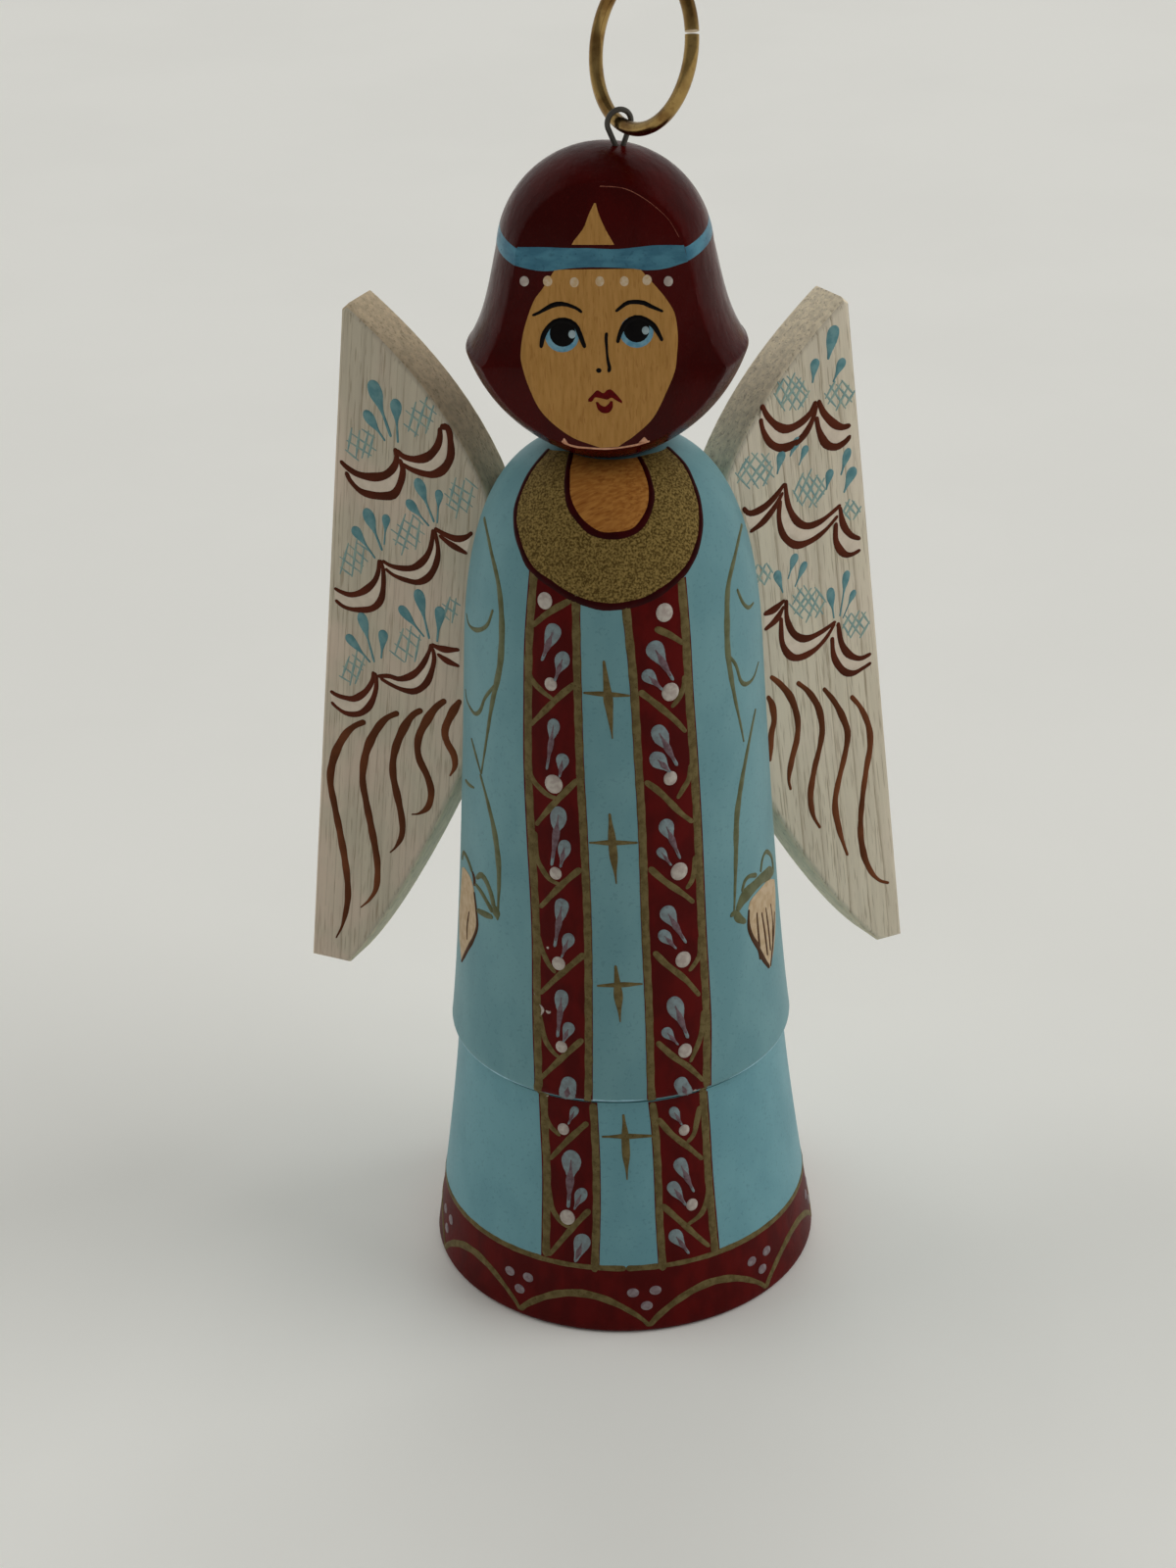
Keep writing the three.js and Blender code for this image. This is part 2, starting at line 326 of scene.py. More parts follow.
@dataclass(frozen=True)
class Wood(Finish):
    """Wood with long grain, fine pores, thin dark year rings and a thin wash or varnish."""

    tone: Colour = (200, 160, 110)
    second: Colour = (180, 135, 85)
    pore: Colour = (120, 85, 50)
    pore_share: float = 0.5
    ring_share: float = 0.0
    ring_gap: float = 1.7
    fibre: float = 0.25
    year: float = 1.6
    stretch: Triple = (1.0, 1.0, 30.0)
    turn: Triple = (0.0, 0.0, 0.0)
    stain: Colour = (160, 150, 140)
    stain_share: float = 0.0
    roughness: float = 0.55
    gloss: float = 0.1
    depth: float = 0.02
    YEAR_EDGE: ClassVar[Pair] = (0.32, 0.68)
    PORE_EDGE: ClassVar[Pair] = (0.58, 0.7)
    PORE_SIZE: ClassVar[float] = 1.7
    PORE_DEPTH: ClassVar[float] = 0.6
    BLOTCH_EDGE: ClassVar[Pair] = (0.42, 0.66)
    BLOTCH_SIZE: ClassVar[float] = 9.0
    BROKEN_EDGE: ClassVar[Pair] = (0.3, 0.5)
    ROUGH_CHANGE: ClassVar[float] = 0.3
    WAVE_LENGTH: ClassVar[float] = math.pi / 10
    WAVE_DRIFT: ClassVar[Triple] = (1.0, 0.05, 0.4)
    WAVE_EDGE: ClassVar[Pair] = (0.8, 1.0)

    def make(self, sheet: Sheet) -> None:
        """Lays out the finish on the sheet of its material."""
        place = sheet.place(self.turn)
        year = sheet.noise(place, self.year, self.stretch, detail=2.0)
        fibre = sheet.noise(place, self.fibre, self.stretch)
        pore_size = self.fibre * self.PORE_SIZE
        pores = sheet.noise(place, pore_size, self.stretch, detail=1.0).within(*self.PORE_EDGE)
        blotch = sheet.noise(place, self.BLOTCH_SIZE).within(*self.BLOTCH_EDGE)
        years = year.within(*self.YEAR_EDGE)
        colour = sheet.mix(years, linear(self.tone), linear(self.second))
        colour = sheet.mix(pores * self.pore_share, colour, linear(self.pore))
        colour = sheet.mix(blotch * self.stain_share, colour, linear(self.stain))
        if self.ring_share > 0:
            rings = self.rings(sheet, place) * fibre.within(*self.BROKEN_EDGE)
            colour = sheet.mix(rings * self.ring_share, colour, linear(self.pore))
        sheet.shade(
            base_color=colour,
            roughness=self.roughness + (fibre - 0.5) * self.ROUGH_CHANGE,
            normal=sheet.relief(fibre - pores * self.PORE_DEPTH, self.depth),
        )
        sheet.polish(self.gloss)

    def rings(self, sheet: Sheet, place: bpy.types.NodeSocket) -> Value:
        """Thin wavering lines along the grain.

        Args:
            sheet: The sheet to lay them out on.
            place: Where on the piece, with x across the grain.

        Returns:
            1 on a line and 0 between lines.
        """
        scaled = {0: place, 1: self.WAVE_DRIFT}
        slow = sheet.node("ShaderNodeVectorMath", {"operation": "MULTIPLY"}, scaled)
        wave = sheet.node(
            "ShaderNodeTexWave",
            {"wave_profile": "SAW"},
            {
                "Vector": slow.outputs[0],
                "Scale": self.WAVE_LENGTH / (self.ring_gap * MM),
                "Distortion": 5.0,
                "Detail": 3.0,
                "Detail Scale": 1.3,
            },
        )
        return Value(sheet, wave.outputs["Fac"]).within(*self.WAVE_EDGE)


ROBE_BLUE = Paint(
    "robe_blue", (115, 158, 164), (106, 150, 157), cloud=5.0, stretch=(1.0, 1.0, 1.8),
    speck=(70, 104, 108), speck_share=0.2, roughness=0.42, grain=0.35,
)
SKIRT_BLUE = Paint(
    "skirt_blue", (116, 165, 174), (107, 156, 166), cloud=5.0, stretch=(1.0, 1.0, 1.6),
    speck=(70, 104, 110), speck_share=0.2, roughness=0.42, grain=0.35,
)
HAIR_MAROON = Paint(
    "hair_maroon", (69, 4, 2), (57, 3, 1), cloud=4.0, stretch=(1.0, 1.0, 2.0), speck=(96, 30, 22),
    speck_size=0.25, speck_share=0.12, roughness=0.26, rough_change=0.3, gloss=0.1, grain=1.1,
    depth=0.06,
)
BAND_MAROON = Paint(
    "band_maroon", (91, 9, 7), (76, 6, 5), cloud=2.0, stretch=(1.0, 1.0, 2.0), roughness=0.46,
    gloss=0.08,
)
LINE_MAROON = Paint("line_maroon", (54, 4, 6), (43, 3, 4), cloud=1.2, roughness=0.46, gloss=0.08)
OLD_GOLD = Paint(
    "old_gold", (116, 102, 66), (96, 82, 50), cloud=0.7, speck=(66, 48, 20), speck_size=0.2,
    speck_share=0.45, roughness=0.55, metal=0.1, gloss=0.08, grain=0.15,
)
SLEEVE_OLIVE = Paint("sleeve_olive", (104, 108, 78), (90, 92, 62), cloud=1.0, roughness=0.5)
COLLAR_GOLD = Paint(
    "collar_gold", (149, 125, 71), (82, 64, 27), cloud=0.2, speck=(66, 50, 20), speck_size=0.13,
    speck_share=0.5, roughness=0.55, metal=0.1, gloss=0.1, grain=0.12, depth=0.03,
)
HEADBAND_BLUE = Paint(
    "headband_blue", (80, 135, 155), (62, 112, 134), cloud=0.9, stretch=(2.5, 2.5, 1.0),
    speck=(40, 76, 96), speck_share=0.3, roughness=0.3,
)
FACE_WOOD = Wood(
    "face_wood", (187, 139, 77), (176, 129, 68), (150, 101, 48), pore_share=0.4, fibre=0.1,
    year=0.3, stretch=(1.0, 1.0, 8.0), depth=0.006,
)
CHEST_WOOD = Wood(
    "chest_wood", (177, 120, 57), (152, 95, 40), (126, 70, 24), pore_share=0.6, fibre=0.14,
    year=0.3, stretch=(14.0, 1.0, 1.0), turn=(0.0, math.radians(30.0), 0.0), roughness=0.45,
)
DOWEL_WOOD = Wood("dowel_wood")
# Bare wood at the chin's corners, and a painted highlight where the face's lower edge catches the
# light.
BARE_WOOD_AND_HIGHLIGHT = Paint("worn_edge", (226, 172, 140), (200, 144, 112), cloud=0.6, roughness=0.6)
# The pale line round the crown: partly a painted highlight on the face's upper edge, partly worn
# paint.
CROWN_LINE = Paint("crown_line", (168, 104, 84), (132, 72, 58), cloud=0.6, roughness=0.5)
SCALLOP_BROWN = Paint(
    "scallop_brown", (92, 42, 26), (76, 35, 20), cloud=4.0, roughness=0.6, gloss=0.06,
)
FEATHER_BROWN = Paint(
    "feather_brown", (88, 47, 25), (114, 64, 37), cloud=6.0, roughness=0.6, gloss=0.06,
)
HAND_BROWN = Paint("hand_brown", (84, 56, 40), (74, 50, 32), cloud=1.0, roughness=0.6, gloss=0.06)
WING_BLUE = Paint(
    "wing_blue", (92, 137, 143), (114, 154, 157), cloud=0.9, roughness=0.6, gloss=0.06,
)
HATCH_BLUE = Paint(
    "hatch_blue", (128, 159, 157), (152, 173, 163), cloud=0.7, roughness=0.6, gloss=0.06,
)
BLUSH_WHITE = Paint("blush_white", (224, 209, 191), (216, 201, 182), cloud=0.8, roughness=0.6)
PEARL_WHITE = Paint(
    "pearl_white", (192, 184, 174), (171, 158, 150), cloud=0.5, roughness=0.35, gloss=0.3,
)
PEARL_FAINT = Paint(
    "pearl_faint", (211, 190, 162), (200, 170, 129), cloud=0.4, roughness=0.4, gloss=0.2,
)
# Pale blue along the robe's lower edge: a painted highlight where the edge catches the light, and
# worn paint.
SEAM_BLUE = Paint("seam_blue", (168, 206, 220), (140, 186, 202), cloud=0.6, roughness=0.5)
DROP_BLUE = Paint(
    "drop_blue", (127, 144, 147), (116, 125, 129), cloud=0.6, speck=(86, 72, 82), speck_size=0.35,
    speck_share=0.35, roughness=0.38, gloss=0.2,
)
DROP_SHADE = Paint("drop_shade", (96, 71, 77), (115, 95, 101), cloud=0.4, roughness=0.4, gloss=0.2)
DOT_LILAC = Paint(
    "dot_lilac", (143, 132, 134), (122, 105, 109), cloud=0.5, roughness=0.38, gloss=0.2,
)
FACE_BLACK = Paint("face_black", (9, 7, 8), (14, 11, 11), cloud=0.5, roughness=0.4, gloss=0.06)
EYE_LIGHT = Paint(
    "eye_light", (164, 183, 188), (148, 168, 174), cloud=0.5, roughness=0.4, gloss=0.2,
)
EYE_BLUE = Paint("eye_blue", (92, 146, 172), (124, 168, 186), cloud=0.6, roughness=0.4)
LIP_RED = Paint("lip_red", (102, 4, 7), (84, 2, 4), cloud=0.5, roughness=0.45, gloss=0.08)
HAND_PEACH = Paint("hand_peach", (200, 177, 145), (184, 157, 122), cloud=0.8, roughness=0.5)
BLACK_WIRE = Paint(
    "black_wire", (9, 8, 7), (5, 4, 4), cloud=0.5, roughness=0.5, gloss=0.04, grain=0.1, depth=0.004
)
AGED_BRASS = Paint(
    "aged_brass", (172, 142, 88), (128, 96, 54), cloud=2.4, speck=(96, 70, 36), speck_size=0.5,
    speck_share=0.25, roughness=0.2, rough_change=0.12, metal=1.0, gloss=0.5, grain=0.3,
    depth=0.004,
)
FLOOR_PAPER = Paint(
    "floor_paper", (252, 251, 245), (250, 249, 243), cloud=60.0, roughness=0.8, grain=1.0,
)


def blend_points(corners: list[Vector], share: float) -> Vector:
    """Point on a Bezier curve by repeated blending along its corner polygon.

    Args:
        corners: The curve's corners.
        share: How far along it, from 0 to 1.

    Returns:
        The point.
    """
    while len(corners) > 1:
        corners = [first.lerp(second, share) for first, second in zip(corners, corners[1:])]
    return corners[0]


def curve(corners: Outline, steps: int) -> Outline:
    """Bezier curve as points.

    Args:
        corners: Its corners as pairs of sizes.
        steps: How many stretches it has.

    Returns:
        The points, both ends among them.
    """
    points = [Vector(corner) for corner in corners]
    return [tuple(blend_points(points, step / steps)) for step in range(steps + 1)]


def arc(radius: float, height: float, size: float, start: float, end: float, steps: int) -> Outline:
    """Round stretch of a profile.

    Args:
        radius: Distance of its centre from the axis.
        height: Height of its centre.
        size: Its radius.
        start: First angle in degrees from the outward direction.
        end: Last angle.
        steps: How many stretches it has.

    Returns:
        The points, both ends among them.
    """
    angles = [math.radians(start + (end - start) * step / steps) for step in range(steps + 1)]
    return [(radius + size * math.cos(angle), height + size * math.sin(angle)) for angle in angles]


@dataclass(frozen=True)
class PhotoCamera:
    """The view, which also says where a painted detail lies.

    Angles are in degrees and the focal length is in pixels.
    """

    place: Triple = (0.0, -277.46, 198.41)
    pitch: float = 27.902
    yaw: float = -0.565
    roll: float = -1.446
    focal: float = 3300.0
    width: float = 1200.0
    height: float = 1600.0
    sensor: float = 36.0
    nearest: float = 10.0

    def axes(self) -> tuple[Vector, Vector, Vector]:
        """Right, up and forward directions of the view."""
        pitch, yaw, roll = (math.radians(angle) for angle in (self.pitch, self.yaw, self.roll))
        flat = math.cos(pitch)
        forward = Vector((math.sin(yaw) * flat, math.cos(yaw) * flat, -math.sin(pitch)))
        level = Vector((math.cos(yaw), -math.sin(yaw), 0.0))
        upright = level.cross(forward)
        right = math.cos(roll) * level + math.sin(roll) * upright
        up = math.cos(roll) * upright - math.sin(roll) * level
        return right, up, forward

    def ray(self, pixel: Pixel) -> Vector:
        """Direction in which a pixel is seen."""
        right, up, forward = self.axes()
        aside = (pixel[0] - self.width / 2) / self.focal
        below = (pixel[1] - self.height / 2) / self.focal
        return (forward + aside * right - below * up).normalized()

    def build(self) -> None:
        """Adds the camera and makes it the scene's own."""
        right, up, forward = self.axes()
        bpy.ops.object.camera_add()
        camera = bpy.context.object
        camera.name = "photo_camera"
        camera.data.sensor_width = self.sensor
        camera.data.lens = self.sensor * self.focal / self.height
        camera.data.clip_start = self.nearest * MM
        turned = Matrix((right, up, -forward)).transposed().to_4x4()
        camera.matrix_world = Matrix.Translation(Vector(self.place) * MM) @ turned
        bpy.context.scene.camera = camera


class Surface(ABC):
    """A face that paint lies on, in millimetres."""

    @abstractmethod
    def seen(self, camera: PhotoCamera, pixel: Pixel) -> Vector:
        """The point of the face that a pixel shows."""

    def between(self, start: Vector, end: Vector, share: float) -> Vector:
        """A point part of the way from one point of the face to another."""
        return self.settle(start.lerp(end, share))

    @abstractmethod
    def settle(self, place: Vector) -> Vector:
        """The point of the face next to a place."""

    @abstractmethod
    def outward(self, place: Vector) -> Vector:
        """The outward direction of the face at a place."""


class FlatFace(Surface):
    """A flat face."""

    def __init__(self, origin: Vector, normal: Vector) -> None:
        """Keeps a point of the face and its outward direction."""
        self.origin = origin
        self.normal = normal

    def seen(self, camera: PhotoCamera, pixel: Pixel) -> Vector:
        """The point of the face that a pixel shows."""
        start = Vector(camera.place)
        ray = camera.ray(pixel)
        return start + ray * ((self.origin - start).dot(self.normal) / ray.dot(self.normal))

    def settle(self, place: Vector) -> Vector:
        """The point of the face next to a place."""
        return place - self.normal * (place - self.origin).dot(self.normal)

    def outward(self, place: Vector) -> Vector:
        """The outward direction of the face."""
        return self.normal


class TurnedFace(Surface):
    """The outside of turned pieces, from the bottom up."""

    MARGIN = 2.0
    STRIDE = 1.0
    HALVINGS = 18
    SETTLINGS = 3

    def __init__(self, outline: Outline) -> None:
        """Keeps the profile's radii and rising heights."""
        self.radii = [radius for radius, _ in outline]
        self.heights = [height for _, height in outline]

    def profile(self, height: float) -> tuple[float, float]:
        """Radius at a height and how fast it changes there."""
        at = min(max(bisect_right(self.heights, height), 1), len(self.heights) - 1)
        slope = (self.radii[at] - self.radii[at - 1]) / (self.heights[at] - self.heights[at - 1])
        return self.radii[at - 1] + slope * (height - self.heights[at - 1]), slope

    def gap(self, place: Vector) -> float:
        """How far a place stands off the face, less than 0 inside it."""
        if place.z > self.heights[-1]:
            return place.z - self.heights[-1]
        radius, slope = self.profile(place.z)
        return (math.hypot(place.x, place.y) - radius) / math.hypot(1.0, slope)

    def seen(self, camera: PhotoCamera, pixel: Pixel) -> Vector:
        """The first point of the face along a pixel's ray, or the nearest if the ray misses it."""
        start = Vector(camera.place)
        ray = camera.ray(pixel)
        nearest = -start.dot(Vector((ray.x, ray.y, 0.0))) / (ray.x**2 + ray.y**2)
        reach = max(self.radii) + self.MARGIN
        near = nearest - reach
        best = (math.inf, near)
        while near < nearest + reach:
            far = near + self.STRIDE
            stand_off = self.gap(start + ray * far)
            best = min(best, (abs(stand_off), far))
            if stand_off < 0:
                for _ in range(self.HALVINGS):
                    middle = (near + far) / 2
                    outside = self.gap(start + ray * middle) > 0
                    near, far = (middle, far) if outside else (near, middle)
                return start + ray * far
            near = far
        return self.settle(start + ray * best[1])

    def between(self, start: Vector, end: Vector, share: float) -> Vector:
        """A point part of the way round from one point of the face to another."""
        place = start.lerp(end, share)
        place.xy = place.xy.normalized() * blend(share, start.xy.length, end.xy.length)
        return self.settle(place)

    def settle(self, place: Vector) -> Vector:
        """The point of the face next to a place."""
        for _ in range(self.SETTLINGS):
            place = place - self.outward(place) * self.gap(place)
        return place

    def outward(self, place: Vector) -> Vector:
        """The outward direction of the face at a place."""
        _, slope = self.profile(place.z)
        return Vector((*place.xy.normalized(), -slope)).normalized()

    def ring_point(self, angle: float, height: float) -> Vector:
        """Point at an angle in degrees, from the front towards +X, and a height."""
        radius, _ = self.profile(height)
        turn = math.radians(angle)
        return Vector((radius * math.sin(turn), -radius * math.cos(turn), height))


class Bench:
    """Modelling steps shared by all pieces."""

    WELD = 0.0005
    CREASE = 32.0
    TURN_STEPS = 144
    WIRE_ROUNDNESS = 5

    @staticmethod
    def clear() -> None:
        """Leaves nothing selected."""
        bpy.ops.object.select_all(action="DESELECT")

    @staticmethod
    def only(piece: bpy.types.Object) -> None:
        """Selects one piece and makes it the active one."""
        Bench.clear()
        piece.select_set(True)
        bpy.context.view_layer.objects.active = piece

    @staticmethod
    def begin(name: str) -> bpy.types.Object:
        """Names the primitive that was just added and returns it."""
        piece = bpy.context.object
        piece.name = name
        piece.data.name = name
        return piece

    @staticmethod
    def edit(piece: bpy.types.Object, mode: str = "VERT") -> None:
        """Goes into edit mode on a piece with one kind of selection."""
        Bench.only(piece)
        bpy.ops.object.mode_set(mode="EDIT")
        bpy.ops.mesh.select_mode(type=mode)

    @staticmethod
    def leave() -> None:
        """Goes back to object mode."""
        bpy.ops.object.mode_set(mode="OBJECT")

    @staticmethod
    def mend(piece: bpy.types.Object) -> None:
        """Merges doubled points and turns all faces outwards."""
        Bench.edit(piece)
        bpy.ops.mesh.select_all(action="SELECT")
        bpy.ops.mesh.remove_doubles(threshold=Bench.WELD * MM)
        bpy.ops.mesh.normals_make_consistent(inside=False)
        Bench.leave()

    @staticmethod
    def smooth(piece: bpy.types.Object, angle: float = CREASE) -> None:
        """Shades a piece smooth up to an angle in degrees."""
        Bench.only(piece)
        bpy.ops.object.shade_smooth_by_angle(angle=math.radians(angle))

    @staticmethod
    def apply(piece: bpy.types.Object, kind: str, **settings: object) -> None:
        """Adds a modifier and applies it.

        Args:
            piece: The piece to change.
            kind: The modifier's type.
            settings: Its properties.
        """
        Bench.only(piece)
        modifier = piece.modifiers.new(kind.lower(), kind)
        for key, value in settings.items():
            setattr(modifier, key, value)
        bpy.ops.object.modifier_apply(modifier=modifier.name)

    @staticmethod
    def turn(name: str, outline: Outline) -> bpy.types.Object:
        """Turns a profile about the upright axis.

        Args:
            name: Name of the piece.
            outline: Radii and heights that start and end on the axis.

        Returns:
            The turned piece.
        """
        Bench.clear()
        bpy.ops.mesh.primitive_circle_add(vertices=len(outline), radius=MM)
        piece = Bench.begin(name)
        for corner, (radius, height) in zip(piece.data.vertices, outline):
            corner.co = (radius * MM, 0.0, height * MM)
        Bench.edit(piece, "EDGE")
        bpy.ops.mesh.select_all(action="DESELECT")
        Bench.leave()
        for edge in piece.data.edges:
            edge.select = set(edge.vertices) == {0, len(outline) - 1}
        Bench.edit(piece, "EDGE")
        bpy.ops.mesh.delete(type="EDGE_FACE")
        bpy.ops.mesh.select_all(action="SELECT")
        bpy.ops.mesh.spin(
            steps=Bench.TURN_STEPS, angle=2 * math.pi, center=(0, 0, 0), axis=(0, 0, 1)
        )
        Bench.leave()
        Bench.mend(piece)
        return piece

    @staticmethod
    def wire(name: str, path: list[Vector], radius: float) -> bpy.types.Object:
        """Round wire along a path.

        Args:
            name: Name of the piece.
            path: Its middle line.
            radius: Radius of the wire.

        Returns:
            The wire as a closed mesh.
        """
        Bench.clear()
        bpy.ops.curve.primitive_nurbs_path_add()
        piece = Bench.begin(name)
        piece.data.splines.clear()
        line = piece.data.splines.new("POLY")
        line.points.add(len(path) - 1)
        for point, place in zip(line.points, path):
            point.co = (*(place * MM), 1.0)
        piece.data.bevel_depth = radius * MM
        piece.data.bevel_resolution = Bench.WIRE_ROUNDNESS
        piece.data.use_fill_caps = True
        Bench.only(piece)
        bpy.ops.object.convert(target="MESH")
        piece = Bench.begin(name)
        Bench.mend(piece)
        return piece

    @staticmethod
    def join(name: str, pieces: list[bpy.types.Object]) -> bpy.types.Object:
        """Joins pieces into one of a name."""
        Bench.clear()
        for piece in pieces:
            piece.select_set(True)
        bpy.context.view_layer.objects.active = pieces[0]
        if len(pieces) > 1:
            bpy.ops.object.join()
        return Bench.begin(name)

    @staticmethod
    def dress(piece: bpy.types.Object, *finishes: Finish) -> None:
        """Gives a piece its finishes."""
        piece.data.materials.clear()
        for finish in finishes:
            piece.data.materials.append(finish.material())

    @staticmethod
    def stand(
        piece: bpy.types.Object, body: Body, slot: Slot | None = None, node: str = "",
    ) -> None:
        """Puts a piece on its body and reports it.

        Args:
            piece: The finished piece.
            body: The body that it moves with.
            slot: Not used.
            node: The solid that it stands for.
        """
        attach(piece, body.value)
        if node:
            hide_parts(node)
        LOG.info("%s: %d faces on %s", piece.name, len(piece.data.polygons), body.value)


def smooth_path(path: Path, steps: int = 8) -> list[Vector]:
    """Smooth line through hand-set pixels.

    Args:
        path: The pixels that the line passes.
        steps: Stretches between two of them.

    Returns:
        Points close together along the line.
    """
    stops = [Vector(pixel) for pixel in path]
    stops = [2 * stops[0] - stops[1], *stops, 2 * stops[-1] - stops[-2]]
    line = []
    for before, first, second, after in zip(stops, stops[1:], stops[2:], stops[3:]):
        for step in range(steps):
            share = step / steps
            bend = (second - before) * share
            bend += (2 * before - 5 * first + 4 * second - after) * share**2
            bend += (3 * first - before - 3 * second + after) * share**3
            line.append(first + bend / 2)
    return [*line, Vector(path[-1])]


def blend(share: float, first: float, second: float) -> float:
    """Eased number between two others.

    Args:
        share: How far from the first to the second, cut off at 0 and 1.
        first: The number at 0.
        second: The number at 1.

    Returns:
        The number between them.
    """
    share = min(max(share, 0.0), 1.0)
    return first + (second - first) * share * share * (3 - 2 * share)


class Line:
    """A line of points that is measured along its length."""

    def __init__(self, points: list[Vector]) -> None:
        """Adds up the lengths between the points."""
        self.points = points
        self.marks = [0.0]
        for first, second in zip(points, points[1:]):
            self.marks.append(self.marks[-1] + (second - first).length)
        self.length = self.marks[-1]

    def at(self, share: float) -> Vector:
        """Point at a share of the length."""
        mark = share * self.length
        after = min(max(bisect_right(self.marks, mark), 1), len(self.marks) - 1)
        stretch = self.marks[after] - self.marks[after - 1]
        part = (mark - self.marks[after - 1]) / stretch if stretch > 0 else 0.0
        return self.points[after - 1].lerp(self.points[after], part)


class Touch(NamedTuple):
    """One use of a brush: a stroke's widths at even stops or a dab's half sizes, and its height."""

    widths: Widths
    height: float


class Coat(NamedTuple):
    """The stretches of a painted patch along its sides and between them, and its thickness."""

    rows: int
    columns: int
    height: float = 0.03


@dataclass(frozen=True)
class Drop:
    """A painted drop: middle of its head and end of its tail as pixels, and the head's radius."""

    head: Pixel
    tail: Pixel
    radius: float


class Brush:
    """Lays paint of one finish on a surface as thin closed shells and joins it into one piece.

    Lengths are in millimetres. A stroke's width wavers a little along its length.
    """

    SUNK = 0.03
    SHELL = 0.03
    EDGE = 0.03
    EDGE_SHARE = 0.2
    SHORTEST = 0.1
    CREASE = 60.0
    PIXELS_PER_MM = 10.4
    DROP_STOPS = 10
    DROP_TAIL = 0.4
    STRETCH = 0.3
    FEWEST_ROWS = 16
    MOST_ROWS = 110
    COLUMNS = 4
    AHEAD = 0.01
    RIM = 0.99
    THINNEST = 0.004
    LEAST_HALF = 0.01
    PHASE = 6.28
    WAVER = 0.07
    WAVES = 2.3
    DOME_SIDES = 20
    DOME_RINGS = 10

    def __init__(self, name: str, surface: Surface, camera: PhotoCamera, finish: Finish) -> None:
        """Starts with no paint laid."""
        self.name = name
        self.surface = surface
        self.camera = camera
        self.finish = finish
        self.hand = random.Random(name)
        self.sheets: list[bpy.types.Object] = []
        self.domes: list[bpy.types.Object] = []

    def follow(self, path: Path) -> list[Vector]:
        """Points of the surface along a smooth line of pixels."""
        return [self.surface.seen(self.camera, tuple(pixel)) for pixel in smooth_path(path)]

    def _grid(self, rows: int, columns: int) -> bpy.types.Object:
        """Adds a grid whose rows run along x and columns along y."""
        Bench.clear()
        bpy.ops.mesh.primitive_grid_add(x_subdivisions=rows, y_subdivisions=columns, size=1.0)
        self.sheets.append(bpy.context.object)
        return bpy.context.object

    def stroke(self, path: Path, widths: Widths, height: float) -> None:
        """Draws a stroke through pixels.

        Args:
            path: The pixels that the brush passes.
            widths: Widths at even stops from the start to the end.
            height: Thickness of the paint.
        """
        self.along(self.follow(path), widths, height)

    def strokes(self, paths: tuple[Path, ...], touch: Touch) -> None:
        """Draws strokes that are all of one kind."""
        for path in paths:
            self.stroke(path, *touch)

    def along(self, points: list[Vector], widths: Widths, height: float) -> None:
        """Draws a stroke along points of the surface.

        Args:
            points: The middle line of the stroke.
            widths: Widths at even stops from the start to the end.
            height: Thickness of the paint.
        """
        line = Line(points)
        rows = max(self.FEWEST_ROWS, min(self.MOST_ROWS, round(line.length / self.STRETCH)))
        sheet = self._grid(rows, self.COLUMNS)
        phase = self.hand.uniform(0, self.PHASE)
        ribs = []
        for row in range(rows + 1):
            share = (1 - math.cos(math.pi * row / rows)) / 2
            centre = line.at(share)
            behind, ahead = max(share - self.AHEAD, 0.0), min(share + self.AHEAD, 1.0)
            way = line.at(ahead) - line.at(behind)
            up = self.surface.outward(centre)
            half = self._half_width(widths, share, line.length)
            half *= 1 + self.WAVER * math.sin(phase + self.WAVES * share * line.length)
            ribs.append((centre, up.cross(way).normalized() * half, up))
        for corner in sheet.data.vertices:
            centre, side, up = ribs[round((corner.co.x + 0.5) * rows)]
            across = -math.cos(math.pi * (corner.co.y + 0.5))
            on_rim = abs(across) >= self.RIM
            rise = -self.SUNK if on_rim else height * math.sqrt(max(0.0, 1 - across**2))
            corner.co = (self.surface.settle(centre + side * across) + up * rise) * MM

    def _half_width(self, widths: Widths, share: float, length: float) -> float:
        """Half of a stroke's width at a share of its length, with round ends."""
        stops = len(widths) - 1
        stop = min(int(share * stops), stops - 1)
        half = blend(share * stops - stop, widths[stop], widths[stop + 1]) / 2
        to_end = min(share, 1 - share) * length
        cap = min(to_end / max(half, self.LEAST_HALF), 1.0)
        return max(half * math.sqrt(1 - (1 - cap) ** 2), self.THINNEST)

    def patch(self, one_side: Path, other_side: Path, coat: Coat) -> None:
        """Fills the area between two lines of pixels that run the same way.

        Args:
            one_side: Pixels along one side.
            other_side: Pixels along the other side.
            coat: The stretches and the thickness of the paint.
        """
        sides = Line(self.follow(one_side)), Line(self.follow(other_side))
        longest = max(side.length for side in sides)
        sheet = self._grid(coat.rows, coat.columns)
        for corner in sheet.data.vertices:
            row = round((corner.co.x + 0.5) * coat.rows)
            column = round((corner.co.y + 0.5) * coat.columns)
            down = self._edged(row, coat.rows, longest)
            ends = [side.at(down) for side in sides]
            over = self._edged(column, coat.columns, (ends[1] - ends[0]).length)
            place = self.surface.between(*ends, over)
            rise = coat.height if 0 < down < 1 and 0 < over < 1 else -self.SUNK
            corner.co = (place + self.surface.outward(place) * rise) * MM

    def _edged(self, index: int, count: int, length: float) -> float:
        """Share of a grid line, with a narrow stretch at each end for the paint's edge."""
        edge = min(self.EDGE / max(length, self.SHORTEST), self.EDGE_SHARE)
        if index in (0, count):
            return index / count
        return edge + (1 - 2 * edge) * (index - 1) / (count - 2)

